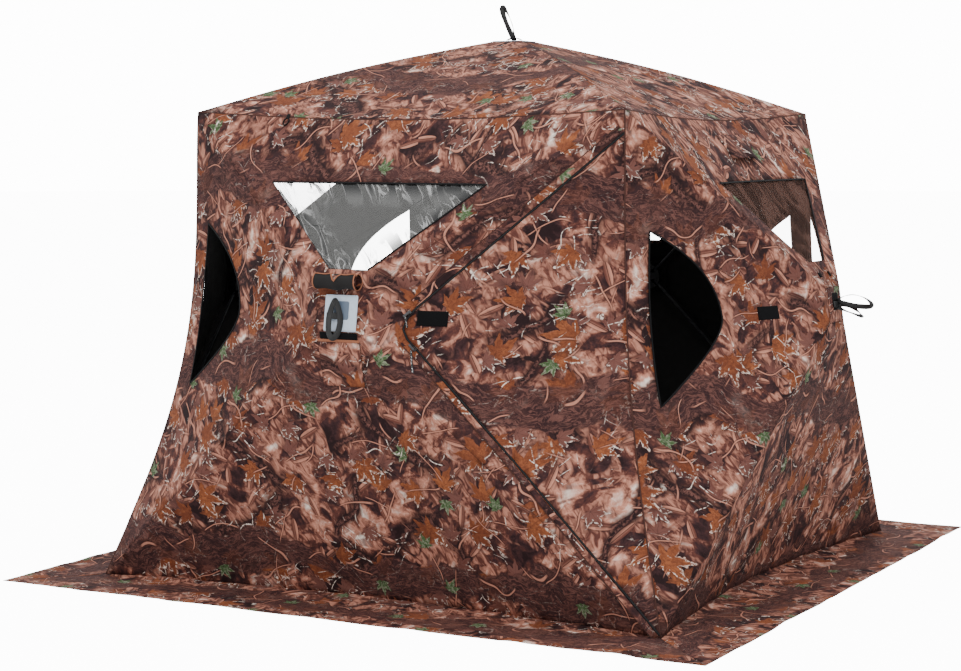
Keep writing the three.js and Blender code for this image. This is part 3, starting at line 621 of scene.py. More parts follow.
def from_line(points, line, closed=True):
    """Distance of each flat point from a line of points."""
    a = line if closed else line[:-1]
    b = np.roll(line, -1, axis=0) if closed else line[1:]
    way = b - a
    t = np.einsum("nmk,mk->nm", points[:, None] - a[None], way) / np.maximum((way ** 2).sum(1), 1e-12)
    near = a[None] + np.clip(t, 0, 1)[..., None] * way[None]
    return np.sqrt(((points[:, None] - near) ** 2).sum(-1)).min(1)


def resample(line, step, closed=False):
    """Points spaced evenly along each leg of a line, its own corners kept."""
    line = np.asarray(line, float)
    ends = np.vstack([line, line[:1]]) if closed else line
    out = []
    for a, b in zip(ends[:-1], ends[1:]):
        n = max(1, int(round(np.linalg.norm(b - a) / step)))
        out.extend(a + (b - a) * i / n for i in range(n))
    if not closed:
        out.append(ends[-1])
    return np.array(out)


def grown(loop, distance):
    """A flat loop moved outwards."""
    loop = np.asarray(loop, float)
    before, after = np.roll(loop, 1, 0), np.roll(loop, -1, 0)
    area = np.sum(loop[:, 0] * after[:, 1] - after[:, 0] * loop[:, 1])
    a, b = loop - before, after - loop
    a, b = unit(a), unit(b)
    turn = 1 if area > 0 else -1
    na, nb = turn * np.column_stack([a[:, 1], -a[:, 0]]), turn * np.column_stack([b[:, 1], -b[:, 0]])
    return loop + (na + nb) * (distance / np.maximum(0.25, 1 + (na * nb).sum(1)))[:, None]


def bezier(a, control, b, steps=14):
    t = np.linspace(0, 1, steps + 1)[:, None]
    a, control, b = (np.asarray(p, float) for p in (a, control, b))
    return (1 - t) ** 2 * a + 2 * t * (1 - t) * control + t * t * b


def ripple(x, y, seed, count=6):
    """Soft uneven waves, about -1 to 1, the same each time for one seed."""
    rng = np.random.default_rng(seed)
    total = 0
    for _ in range(count):
        angle, pitch, phase = rng.uniform(0, math.pi), rng.uniform(5, 19), rng.uniform(0, math.tau)
        total = total + np.sin((x * math.cos(angle) + y * math.sin(angle)) * pitch + phase)
    return total / count * 1.6


# ---------- the tent's shape ----------
class Facet:
    """A fan of cloth from a free edge to one side of the flat plate at a hub.
    s runs along the edge and t from it to the plate. The flat view looks along `out`, the axis it is seen along."""

    def __init__(self, name, edge, plate, bow, hub, out, flat, slope, seed):
        self.name, self.bow, self.out, self.flat, self.slope, self.seed = name, bow, out, flat, slope, seed
        self.a, self.b = (np.array(p, float) for p in edge)
        self.pa, self.pb = (np.array(p, float) for p in plate)
        self.hub = np.array(hub, float)
        self.crown = 0.0
        self.tuck = 0.0
        self.wrinkle = 0.0

    def at(self, s, t, crease=True):
        s, t = np.asarray(s, float), np.asarray(t, float)
        edge = lerp(self.a, self.b, s[:, None])
        points = lerp(edge, lerp(self.pa, self.pb, s[:, None]), t[:, None])
        points = points + self.bow(s) * (np.clip(1 - t, 0, 1) ** 1.5)[:, None]
        lift = self.crown * np.sin(math.pi * np.clip(t, 0, 1)) * (1 - 0.35 * np.sin(math.pi * np.clip(s, 0, 1)))
        if crease:
            lift = lift + self.creases(s, t, points[:, self.flat[0]], points[:, self.flat[1]])
        points[:, self.out[0]] += self.out[1] * lift
        return points

    def creases(self, s, t, x, y):
        side = np.clip(np.minimum(s, 1 - s) / 0.10, 0, 1)
        ends = np.clip(t / 0.06, 0, 1) * np.clip((1 - t) / 0.12, 0, 1)
        fade = side * side * (3 - 2 * side) * ends
        soft = ripple(x, y * 0.8, self.seed) * self.wrinkle
        rays = np.sin(s * 41 + 2.2 * np.sin(t * 5 + self.seed)) * np.clip(t - 0.25, 0, 1) ** 1.5 * self.wrinkle * 0.9
        low = np.clip(1 - t / 0.34, 0, 1)
        tucks = (ripple(x * 2.1, y * 0.7, self.seed + 50) + 0.5 * ripple(x * 3.9, y * 1.1, self.seed + 90)) * self.tuck
        return fade * (soft + rays) + side * np.clip(t / 0.02, 0, 1) * low ** 1.3 * tucks

    def find(self, places):
        """s and t of flat places, by Newton's method."""
        s = np.full(len(places), 0.5)
        t = np.full(len(places), 0.4)
        pick = lambda s, t: self.at(s, t, crease=False)[:, self.flat]
        for _ in range(14):
            here = pick(s, t)
            miss = places - here
            ds = (pick(s + 1e-5, t) - here) / 1e-5
            dt = (pick(s, t + 1e-5) - here) / 1e-5
            det = ds[:, 0] * dt[:, 1] - ds[:, 1] * dt[:, 0]
            det = np.where(np.abs(det) < 1e-9, 1e-9, det)
            s = np.clip(s + (miss[:, 0] * dt[:, 1] - miss[:, 1] * dt[:, 0]) / det, -0.3, 1.3)
            t = np.clip(t + (ds[:, 0] * miss[:, 1] - ds[:, 1] * miss[:, 0]) / det, -0.2, 1.2)
        return s, t

    def on(self, places, lift=0.0):
        """Points on the cloth at flat places, lifted off its outer face."""
        points = self.at(*self.find(np.asarray(places, float)))
        points[:, self.out[0]] += self.out[1] * lift
        return points

    def outline(self, step):
        """The facet's own edge as a flat loop."""
        count = lambda a, b: max(2, int(round(np.linalg.norm(b - a) / step)))
        n, m = count(self.a, self.b), count(self.pa, self.pb)
        k = count(self.a, self.pa)
        rise = np.linspace(0, 1, k + 1)
        s = np.concatenate([np.linspace(0, 1, n + 1)[:-1], np.full(k, 1.0), np.linspace(1, 0, m + 1)[:-1], np.zeros(k)])
        t = np.concatenate([np.zeros(n), rise[:-1], np.full(m, 1.0), rise[::-1][:-1]])
        return self.at(s, t, crease=False)[:, self.flat]

    def net(self, step):
        n = int(np.linalg.norm(self.b - self.a) / step)
        k = int(np.linalg.norm(lerp(self.a, self.b, 0.5) - lerp(self.pa, self.pb, 0.5)) / step)
        rows = []
        for j in range(1, k):
            t = j / k
            wide = max(3, int(n * (1 - t * 0.9)))
            rows += [((i + 0.5 * (j % 2)) / wide, t) for i in range(wide + 1)]
        s, t = np.array(rows).T
        return self.at(np.clip(s, 0, 1), t, crease=False)[:, self.flat]

    def pull(self):
        """Two points on the line from the foot of the edge to the hub, one near each end."""
        way = self.b - self.a
        foot = self.a + way * np.dot(self.hub - self.a, way) / np.dot(way, way)
        return lerp(foot, self.hub, 0.10), lerp(foot, self.hub, 0.912)


class Tent:
    """The blind's shape in metres, front wall facing -Y; the others are quarter turns of it."""

    def __init__(self):
        size = bpy.context.scene.blind_shape
        self.size = size
        self.lean = math.atan((size.foot_half - size.eave_half) / size.eave_z)
        self.up = np.array([0, math.sin(self.lean), math.cos(self.lean)])
        self.out = np.array([0, -math.cos(self.lean), math.sin(self.lean)])
        self.hub = np.array([0, -size.hub_out, size.hub_z])
        self.apex = np.array([0, 0, size.apex_z])

    def corner_bow(self, s):
        return self.size.corner_bow * np.maximum(0, np.sin(math.pi * np.clip(s, 0, 1) ** 0.92)) ** 1.15

    def corner_half(self, z):
        size = self.size
        return size.foot_half - (size.foot_half - size.eave_half) * z / size.eave_z - self.corner_bow(z / size.eave_z)

    def wall(self, quarter):
        size, gap, foot = self.size, EDGE_GAP, 0.0046
        def plate(side, upper):
            reach = np.array([side * (size.eave_half if upper else size.foot_half),
                              size.eave_z - size.hub_z if upper else -size.hub_z])
            reach *= size.plate / np.linalg.norm(reach)
            return self.hub + np.array([reach[0], 0, 0]) + self.up * reach[1]
        def corner(side, upper):
            return ((side * (size.eave_half - gap), -size.eave_half, size.eave_z - gap) if upper
                    else (side * (size.foot_half - gap), -size.foot_half, foot))
        def upright(side, name):
            first = side < 0
            def bow(s):
                b = self.corner_bow(s if side > 0 else 1 - s)
                return np.column_stack([-side * b, b, 0 * b])
            return self.facet(name, (corner(side, first), corner(side, not first)),
                              (plate(side, first), plate(side, not first)), bow, quarter)
        def eave(s):
            b = size.eave_bow * np.sin(math.pi * s)
            return np.column_stack([0 * b, b, -b])
        def hem(s):
            b = size.foot_bow * np.sin(math.pi * s)
            return np.column_stack([0 * b, b, 0 * b])
        right, left = upright(1, "right"), upright(-1, "left")
        top = self.facet("top", (corner(1, True), corner(-1, True)), (plate(1, True), plate(-1, True)), eave, quarter)
        foot_facet = self.facet(
            "foot", (corner(-1, False), corner(1, False)), (plate(-1, False), plate(1, False)), hem, quarter)
        foot_facet.tuck = size.tuck
        for side in (right, left):
            side.tuck = size.tuck * 0.25
        return {"right": right, "top": top, "left": left, "foot": foot_facet}

    def facet(self, name, edge, plate, bow, quarter):
        made = Facet(
            name, edge, plate, bow, self.hub, (1, -1), [0, 2], 1 / math.cos(self.lean), 11 * quarter + len(name))
        made.wrinkle = self.size.wrinkle
        return made

    def roof(self, quarter):
        size, half, near = self.size, self.size.eave_half - EDGE_GAP, self.size.roof_plate / math.sqrt(2)
        def bow(s):
            b = size.eave_bow * np.sin(math.pi * s)
            return np.column_stack([0 * b, b, -b])
        made = Facet(
            "roof", ((-half, -half, size.eave_z), (half, -half, size.eave_z)),
            ((-near, -near, size.apex_z), (near, -near, size.apex_z)),
            bow, self.apex, (2, 1), [0, 1], 1.045, 70 + quarter)
        made.crown = size.roof_crown
        made.wrinkle = size.wrinkle * 0.8
        return made


# windows and door, as x and z on the front wall in metres
TOP_WINDOW = np.array([[-0.441, 1.497], [0.441, 1.497], [0.086, 1.203], [-0.074, 1.203]])
SIDE_WINDOW = np.vstack([
    bezier((-0.802, 1.337), (-0.553, 1.205), (-0.550, 1.030)),
    bezier((-0.550, 1.030), (-0.550, 0.945), (-0.848, 0.735))[1:]])
DOOR_NOSE = [(0.274, 1.081), (0.243, 1.040), (0.236, 1.005), (0.250, 0.972)]
DOOR_TOP, DOOR_FOOT_Z, DOOR_MARGIN, ZIP_GAP = (0.846, 1.635), 0.034, 0.014, 0.0015
VENT_SLOT = np.array([[-0.085, 1.604], [0.085, 1.604], [0.085, 1.648], [-0.085, 1.648]])  # on the right wall
ROLL_HALF = 0.082
ROLL_TURNS = 2.6
PATCH_W, PATCH_H = 0.131, 0.128
PATCH_ASIDE = np.array([0.022, 0.010])  # the front patch's centre from its hub
POCKET_X, POCKET_HALF, POCKET_TOP, POCKET_FOOT = 0.018, 0.084, 0.962, 0.800
HOOD_HALF, HOOD_FOOT, HOOD_TOP, HOOD_LIFT = 0.112, 1.582, 1.668, 0.039
ZIP_W, FLAP_T, FLAP_EDGE_W = 0.0075, 0.0022, 0.0030
SKIRT_LAP = 0.022  # the skirt's inner edge lies under the walls
FLOOR_RADIUS = 60
EDGE_GAP = 0.0012  # the cloth stops short of its seams' centre lines


def zip_line(tent):
    """The zip's path on the front wall, from the corner edge near the eave round the nose and back to it."""
    foot = np.array([float(tent.corner_half(DOOR_FOOT_Z)) - DOOR_MARGIN, DOOR_FOOT_Z])
    line = np.vstack([[DOOR_TOP], DOOR_NOSE, [foot]])
    for end, before in ((0, 1), (-1, -2)):
        way = line[end] - line[before]
        way /= np.linalg.norm(way)
        for _ in range(8):
            line[end] += way * (float(tent.corner_half(line[end][1])) - EDGE_GAP - line[end][0]) / way[0]
    return line


def door_loops(tent, facet, step):
    """The facet's loop without the door, and the door's own loop up to the corner edge."""
    line = zip_line(tent)
    ahead = np.gradient(line, axis=0)
    across = np.column_stack([ahead[:, 1], -ahead[:, 0]]) / np.linalg.norm(ahead, axis=1)[:, None]
    frame_line, door_line = line + across * ZIP_GAP, line - across * ZIP_GAP
    count = max(2, int(round(np.linalg.norm(facet.b - facet.a) / step)))
    places = lambda s: facet.at(s, 0 * s, crease=False)[:, facet.flat]
    share = lambda z: (z - facet.a[2]) / (facet.b[2] - facet.a[2])
    low, high = share(line[-1][1]), share(line[0][1])
    s = np.linspace(0, 1, count + 1)
    below, above = s[s < low - 0.002], s[(s > high + 0.002) & (s < 1)]
    between = s[(s > low + 0.004) & (s < high - 0.004)]
    around = facet.outline(step)[count:]
    return (np.vstack([places(below), frame_line[::-1], places(above), around]),
            np.vstack([door_line, places(between)]))


def mirrored(loop):
    return (loop * [-1, 1])[::-1]


def shell(name, facet, outline, holes, quarter, finishes=("camo", "lining"), thick=None, shift=0.0,
          offset=(0.0, 0.0), step=None):
    """Cloth over the part of a facet inside an outline and outside its holes, with a lined inner face."""
    size = bpy.context.scene.blind_shape
    thick, step = thick or size.cloth, step or size.step
    loops = [resample(outline, step, closed=True)] + [resample(h, step * 0.7, closed=True) for h in holes]
    net = facet.net(step)
    keep = inside(net, loops[0])
    for hole in loops[1:]:
        keep &= ~inside(net, hole)
    for loop in loops:
        keep &= from_line(net, loop) > step * 0.45
    places = np.vstack(loops + [net[keep]])
    edges, start = [], 0
    for loop in loops:
        n = len(loop)
        edges += [(start + i, start + (i + 1) % n) for i in range(n)]
        start += n
    flat, _, faces, *_ = delaunay_2d_cdt([Vector(p) for p in places], edges, [], 0, 1e-7)
    flat, faces = np.array([tuple(p) for p in flat]), np.array(faces)
    middle = flat[faces].mean(1)
    good = inside(middle, loops[0])
    for hole in loops[1:]:
        good &= ~inside(middle, hole)
    faces = faces[good]
    used, faces = np.unique(faces, return_inverse=True)
    flat, faces = flat[used], faces.reshape(-1, 3)
    outer = facet.on(flat, -shift)
    inner = outer.copy()
    inner[:, facet.out[0]] -= facet.out[1] * thick
    count = len(flat)
    sides = {}
    for f in faces:
        for a, b in ((f[0], f[1]), (f[1], f[2]), (f[2], f[0])):
            sides[(a, b)] = sides.get((a, b), 0) + 1
    rim = [(a, b) for a, b in sides if (b, a) not in sides]
    all_faces = [tuple(f) for f in faces] + [(f[2] + count, f[1] + count, f[0] + count) for f in faces]
    all_faces += [(b, a, a + count, b + count) for a, b in rim]
    kinds = [0] * len(faces) + [1] * (len(faces) + len(rim))
    seam = np.min([from_line(flat, loop) for loop in loops], axis=0)
    printed = np.column_stack([flat[:, 0] + offset[0], flat[:, 1] * facet.slope + offset[1]])
    layers = {"print": np.vstack([printed, printed]), "seam": np.tile(np.column_stack([seam, flat[:, 0]]), (2, 1))}
    made = piece(name, quarter_turn(np.vstack([outer, inner]), quarter), all_faces, finishes, kinds, layers)
    corners = outer[faces]
    normals = np.cross(corners[:, 1] - corners[:, 0], corners[:, 2] - corners[:, 0])
    area = float(0.5 * np.linalg.norm(normals, axis=1).sum())
    low, high = flat.min(0), flat.max(0)
    wide, long = float(high[0] - low[0]), float((high[1] - low[1]) * facet.slope)
    made["cut"] = (wide, long, area)
    return made


def declare(made, *nodes, trim=(), held="stretched"):
    wide, long, area = made["cut"]
    if area < 0.35 * wide * long:
        long = area / wide
    min(area, wide * long)


def ribbon(name, path, side, out, width, thick, finish, closed=False, profile=None):
    """A flat band along a path of points; side and out are its unit ways at each point."""
    path, side, out = (np.asarray(v, float) for v in (path, side, out))
    profile = profile or [(-0.5, 0), (-0.5, 0.6), (-0.42, 1), (0, 1.08), (0.42, 1), (0.5, 0.6), (0.5, 0)]
    rings = np.stack([path + side * width * p + out * thick * q for p, q in profile], 1)
    n, m = rings.shape[:2]
    faces = []
    for i in range(n if closed else n - 1):
        j = (i + 1) % n
        faces += [(i * m + k, i * m + (k + 1) % m, j * m + (k + 1) % m, j * m + k) for k in range(m)]
    if not closed:
        faces += [tuple(range(m))[::-1], tuple((n - 1) * m + k for k in range(m))]
    run = np.concatenate([[0], np.cumsum(np.linalg.norm(np.diff(path, axis=0), axis=1))])
    across = np.tile([p * width for p, _ in profile], n)
    along = np.repeat(run, m)
    layers = {"print": np.column_stack([along, across]), "seam": np.column_stack([across, along])}
    return piece(name, rings.reshape(-1, 3), faces, [finish], layers=layers)


def band(name, facet, line, quarter, width, thick, finish, lift=0.0006, closed=False, step=0.02, printed=False):
    """A ribbon sewn on to a facet along a flat line."""
    line = resample(line, step, closed)
    ahead = np.roll(line, -1, 0) - np.roll(line, 1, 0)
    if not closed:
        ahead[0], ahead[-1] = line[1] - line[0], line[-1] - line[-2]
    ahead = unit(ahead)
    across = np.column_stack([ahead[:, 1], -ahead[:, 0]])
    middle = facet.on(line, lift)
    left = facet.on(line - across * width / 2, lift)
    right = facet.on(line + across * width / 2, lift)
    side = (right - left) / np.linalg.norm(right - left, axis=1)[:, None]
    forward = np.gradient(middle, axis=0) if not closed else np.roll(middle, -1, 0) - np.roll(middle, 1, 0)
    out = unit(np.cross(forward, side))
    out *= np.sign(out[:, facet.out[0]] * facet.out[1])[:, None]
    turn = lambda v: quarter_turn(v, quarter)
    made = ribbon(name, turn(middle), turn(side), turn(out), width, thick, finish, closed)
    if printed:
        places = np.vstack([line + across * width * p for p in (-0.5, -0.5, -0.42, 0, 0.42, 0.5, 0.5)])
        places = places.reshape(7, -1, 2).transpose(1, 0, 2).reshape(-1, 2) * [1, facet.slope] + [0.31, 0.17]
        corners = np.empty(len(made.data.loops), np.int32)
        made.data.loops.foreach_get("vertex_index", corners)
        made.data.uv_layers["print"].data.foreach_set("uv", places.astype(np.float32)[corners].ravel())
        flat_edge = np.tile([0.0, 0.001, 0.004, width / 2, 0.004, 0.001, 0.0], len(line))
        made.data.uv_layers["seam"].data.foreach_set(
            "uv", np.column_stack([flat_edge, flat_edge]).astype(np.float32)[corners].ravel())
    return made


def follow(made, facet, quarter):
    start, end = facet.pull()
    start, end = (tuple(quarter_turn(place, quarter)[0]) for place in (start, end))
    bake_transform(made)
    return made


def sewn(made, facet, quarter):
    """Trim sewn on to a facet, its place baked into its mesh."""
    return follow(made, facet, quarter)


class Plate:
    """The flat square of cloth over a hub."""

    def __init__(self, origin, rake, out, flat, corners):
        self.origin, self.rake, self.out, self.flat, self.slope = origin, rake, out, flat, 1.0
        self.corners = np.array(corners, float)

    def on(self, places, lift=0.0):
        places = np.asarray(places, float)
        points = np.zeros((len(places), 3))
        points[:, self.flat] = places
        points[:, self.out[0]] = (
            self.origin[self.out[0]] + (places[:, 1] - self.origin[self.flat[1]]) * self.rake + self.out[1] * lift)
        return points

    def net(self, step):
        low, high = self.corners.min(0), self.corners.max(0)
        x, y = np.meshgrid(np.arange(low[0], high[0], step), np.arange(low[1], high[1], step))
        return np.column_stack([x.ravel(), y.ravel()])


def hub_plate(tent, facets):
    corners = [facets[name].pb[[0, 2]] for name in ("right", "top", "left", "foot")]
    return Plate(tent.hub, math.tan(tent.lean), (1, -1), [0, 2], corners)


def on_door(made):
    """Cloth on the door, its place baked into its mesh."""
    facet = Tent().wall(0)["right"]
    start, end = facet.pull()
    way = (end - start) / np.linalg.norm(end - start)
    root = facet.a + (facet.b - facet.a) * 0.5
    tuple(root + way * 0.13)
    tuple(root + way * 0.32)
    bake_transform(made)
    return made


def lathe(profile, start, way, turns=16):
    """Points and faces of a closed outline of (distance, radius) turned about a line."""
    way = np.asarray(way, float) / np.linalg.norm(way)
    side = np.cross(way, (0, 0, 1) if abs(way[2]) < 0.9 else (1, 0, 0))
    side /= np.linalg.norm(side)
    up = np.cross(way, side)
    angles = np.linspace(0, math.tau, turns, endpoint=False)
    points = [start + way * d + (side * math.cos(a) + up * math.sin(a)) * r for d, r in profile for a in angles]
    n = len(profile)
    faces = [(i * turns + k, i * turns + (k + 1) % turns,
              (i + 1) % n * turns + (k + 1) % turns, (i + 1) % n * turns + k)
             for i in range(n) for k in range(turns)]
    return np.array(points), faces


def joined(parts):
    """Several (points, faces) as one."""
    points, faces, start = [], [], 0
    for more, these in parts:
        points.append(more)
        faces += [tuple(i + start for i in f) for f in these]
        start += len(more)
    return np.vstack(points), faces


def upper_corner(tent, sx, sy, inset=0.024):
    half = tent.size.eave_half - inset
    return np.array([sx * half, sy * half, tent.size.eave_z - inset])


def lower_corner(tent, sx, sy, inset=0.024):
    half = tent.size.foot_half - inset
    return np.array([sx * half, sy * half, inset])


def rod_pin(origin, x, y, z, target, ring=0.042, depth=0.022):
    """Where the rod that runs to a corner is pinned to its hub."""
    away = target - origin
    across = np.array([away @ x, away @ y])
    across /= np.linalg.norm(across)
    return origin + x * across[0] * ring + y * across[1] * ring - z * depth


# ---------- operators ----------
class BLIND_OT_walls(bpy.types.Operator):
    """Four walls of printed cloth, each four curved facets round a flat hub plate"""
    bl_idname = "blind.walls"
    bl_label = "Walls"

    def execute(self, context):
        tent = Tent()
        size = tent.size
        for quarter, side in enumerate(SIDES):
            facets = tent.wall(quarter)
            hub = f"hub_{side}"
            shift = (0.37 * quarter, 0.11 * quarter)
            holes = {"top": [TOP_WINDOW], "left": [SIDE_WINDOW], "right": [mirrored(SIDE_WINDOW)], "foot": []}
            if side == "front":
                holes["right"] = []
            if side == "right":
                holes["top"].append(VENT_SLOT)
            for name, facet in facets.items():
                outline = facet.outline(size.step)
                if side == "front" and name == "right":
                    outline = door_loops(tent, facet, size.step)[0]
                made = shell(f"cloth_{side}_{name}", facet, outline, holes[name], quarter, offset=shift)
                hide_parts(f"wall_{side}")
                declare(follow(made, facet, quarter), f"rod_{side}_upper_right")
            plate = hub_plate(tent, facets)
            made = shell(f"cloth_{side}_plate", plate, plate.corners, [], quarter, offset=shift)
            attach(made, hub)
            declare(made, hub)
        return {"FINISHED"}


class BLIND_OT_roof(bpy.types.Operator):
    """The roof's four facets and the flat plate over its hub"""
    bl_idname = "blind.roof"
    bl_label = "Roof"

    def execute(self, context):
        tent = Tent()
        for quarter, side in enumerate(SIDES):
            facet = tent.roof(quarter)
            made = shell(f"roof_cloth_{side}", facet, facet.outline(tent.size.step), [], quarter,
                         offset=(0.21 * quarter + 0.1, 0.43 * quarter))
            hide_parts("roof")
            declare(follow(made, facet, quarter), "rod_roof_front_left")
        near = tent.size.roof_plate / math.sqrt(2)
        plate = Plate(tent.apex, 0.0, (2, 1), [0, 1], [(-near, -near), (near, -near), (near, near), (-near, near)])
        made = shell("roof_cloth_plate", plate, plate.corners, [], 0)
        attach(made, "hub_roof")
        declare(made, "hub_roof")
        return {"FINISHED"}


class BLIND_OT_skirt(bpy.types.Operator):
    """The ground skirt: four mitred strips of printed cloth that lie on the ground with low creases"""
    bl_idname = "blind.skirt"
    bl_label = "Ground skirt"

    def execute(self, context):
        tent = Tent()
        size = tent.size
        half, wide, lap = size.skirt_half, size.foot_half - SKIRT_LAP, 96
        deep = 16
        for quarter, side in enumerate(SIDES):
            s, t = np.meshgrid(np.linspace(0, 1, lap + 1), np.linspace(0, 1, deep + 1))
            s, t = s.ravel(), t.ravel()
            inner = np.column_stack([lerp(-wide, wide, s), -wide + size.foot_bow * np.sin(math.pi * s), 0 * s])
            outer = np.column_stack([lerp(-half, half, s), np.full_like(s, -half), 0 * s])
            top = lerp(inner, outer, t[:, None])
            fade = np.clip(np.minimum(s, 1 - s) / 0.06, 0, 1)
            x, y = top[:, 0], top[:, 1]
            wave = ripple(x * 1.5, y * 2.2, 31 + quarter) * 0.5 + ripple(x * 3.1, y * 1.2, 35 + quarter) * 0.5
            rise = np.clip(1 - t / 0.35, 0, 1) ** 2 * 0.010 + np.maximum(0, wave) * 0.010 * (1 - 0.45 * t)
            top[:, 1] += fade * t * ripple(x * 0.9, 0 * x, 41 + quarter) * 0.007
            top[:, 2] = 0.0022 + fade * rise + (1 - fade) * np.clip(1 - t / 0.35, 0, 1) ** 2 * 0.004
            under = top.copy()
            under[:, 2] -= 0.0018
            n, row = len(top), lap + 1
            faces, kinds = [], []
            for j in range(deep):
                for i in range(lap):
                    a, b, c, d = j * row + i, j * row + i + 1, (j + 1) * row + i + 1, (j + 1) * row + i
                    faces += [(a, d, c, b), (a + n, b + n, c + n, d + n)]
                    kinds += [0, 1]
            rim = ([(i, i + 1) for i in range(lap)] + [(j * row + lap, (j + 1) * row + lap) for j in range(deep)]
                   + [(deep * row + i + 1, deep * row + i) for i in range(lap)]
                   + [((j + 1) * row, j * row) for j in range(deep)])
            faces += [(a, b, b + n, a + n) for a, b in rim]
            kinds += [0] * len(rim)
            printed = np.column_stack([x + 0.3 * quarter, y])
            seam = np.minimum(half + y, 0.2)
            layers = {"print": np.vstack([printed] * 2), "seam": np.tile(np.column_stack([seam, x]), (2, 1))}
            made = piece(f"skirt_{side}", quarter_turn(np.vstack([top, under]), quarter), faces,
                         ["skirt", "lining"], kinds, layers)
            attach(made, "shelter")
            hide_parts("skirt")
        return {"FINISHED"}


class BLIND_OT_windows(bpy.types.Operator):
    """Film and mesh behind the top windows, and black binding along the window edges"""
    bl_idname = "blind.windows"
    bl_label = "Windows"

    def execute(self, context):
        tent = Tent()
        for quarter, side in enumerate(SIDES):
            facets = tent.wall(quarter)
            clear = side == "front"
            facet = facets["top"]
            facet.wrinkle = 0.0045 if clear else 0.0025
            finish, node = ("film", "window_film_front") if clear else ("mesh", f"window_mesh_{side}")
            made = shell(f"window_{finish}_sheet_{side}", facet, grown(TOP_WINDOW, 0.014), [], quarter,
                         finishes=(finish, finish), thick=0.0008, shift=0.0052, step=0.022)
            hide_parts(node)
            declare(follow(made, facet, quarter), f"cloth_{side}_top")
            facet = tent.wall(quarter)["top"]
            edge = np.array([TOP_WINDOW[0], TOP_WINDOW[1], TOP_WINDOW[2]])
            bound = band(f"window_binding_{side}_top", facet, edge, quarter, 0.0065, 0.0016, "webbing")
            sewn(bound, facet, quarter)
            sides = {"left": SIDE_WINDOW, "right": mirrored(SIDE_WINDOW)}
            for name, loop in sides.items():
                if side == "front" and name == "right":
                    continue
                bound = band(f"window_binding_{side}_{name}", facets[name], loop, quarter, 0.0065, 0.0016, "webbing",
                             closed=True)
                sewn(bound, facets[name], quarter)
        return {"FINISHED"}


class BLIND_OT_door(bpy.types.Operator):
    """The zip door in the front wall's right facet, its zip, storm flaps and pulls"""
    bl_idname = "blind.door"
    bl_label = "Door"

    def execute(self, context):
        tent = Tent()
        facet = tent.wall(0)["right"]
        door = shell("door_cloth", facet, door_loops(tent, facet, tent.size.step)[1], [], 0)
        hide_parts("door", "door_hem")
        declare(on_door(door), "cloth_front_right")

        line = zip_line(tent)
        nose, foot = [np.array(p) for p in DOOR_NOSE], line[-1]
        zip_tape = band("door_zip", facet, line, 0, ZIP_W, 0.0014, "zip", lift=0.0002, step=0.012)
        sewn(zip_tape, facet, 0)
        upper = np.array([nose[0], line[0]]) + np.array([-0.0115, 0.0125])
        lower = np.array([nose[-1], foot]) + np.array([-0.0100, -0.0080])
        for name, path, width in (("upper", upper, 0.028), ("lower", lower, 0.021)):
            flap = band(f"storm_flap_{name}", facet, path, 0, width, FLAP_T, "camo", lift=0.0016, printed=True)
            sewn(flap, facet, 0)
            way = (path[1] - path[0]) / np.linalg.norm(path[1] - path[0])
            beside = np.array([way[1], -way[0]]) * (width / 2 - 0.001)
            if (beside[0] > 0) != (path[0][0] > nose[0][0]):
                beside = -beside
            edge = band(f"storm_flap_edge_{name}", facet, path + beside, 0, FLAP_EDGE_W, 0.0012, "seam", lift=0.0030)
            sewn(edge, facet, 0)
        tab = band(
            "hook_tab_door", facet, np.array([[0.276, 1.043], [0.372, 1.040]]), 0, 0.052, 0.0022, "tab", step=0.01)
        on_door(tab)

        for name in ("upper", "lower"):
            repaint(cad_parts[f"zip_slider_{name}"], "metal")
            low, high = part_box(f"zip_slider_{name}")
            long = 0.040 if name == "upper" else 0.098
            x, y, z = (low[0] + high[0]) / 2, low[1] - 0.003, low[2] + 0.006
            down = np.linspace(0, 1, 14)
            path = np.column_stack([
                x + 0.004 * np.sin(down * 2.5), y + 0.010 * down ** 2 - 0.003 * np.sin(down * 3), z - long * down])
            ahead = unit(np.gradient(path, axis=0))
            out = np.tile([0.15, -0.98, 0.0], (len(path), 1))
            side = np.cross(ahead, out)
            pull = ribbon(f"zip_pull_{name}", path, side, out, 0.0075, 0.0026, "pull")
            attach(pull, f"zip_slider_{name}")
        return {"FINISHED"}


def strap_loop(name, root, along, across, length, spread, width, body, sag=0.0, roll=0.9, twist=0.8, finish="satin"):
    """A closed loop of webbing that hangs or stands from a root."""
    along, across = (np.asarray(v, float) / np.linalg.norm(v) for v in (along, across))
    normal = np.cross(along, across)
    u = np.linspace(0, 1, 56, endpoint=False)
    reach = length * (0.5 - 0.5 * np.cos(math.tau * u))
    wide = spread * np.sin(math.tau * u) * np.clip(0.35 + np.sin(math.pi * u), 0, 1)
    path = np.asarray(root) + along * reach[:, None] + across * wide[:, None]
    path = (path + normal * (0.004 * np.sin(math.tau * u * 2 + 1))[:, None]
            + np.array([0, 0, -sag]) * ((reach / length) ** 2)[:, None])
    ahead = unit(np.roll(path, -1, 0) - np.roll(path, 1, 0))
    lay = roll + twist * np.sin(math.tau * u)
    first = unit(np.cross(ahead, normal))
    second = np.cross(first, ahead)
    side = first * np.cos(lay)[:, None] + second * np.sin(lay)[:, None]
    out = np.cross(side, ahead)
    made = ribbon(name, path, side, out, width, 0.0019, finish, closed=True)
    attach(made, body)
    return made


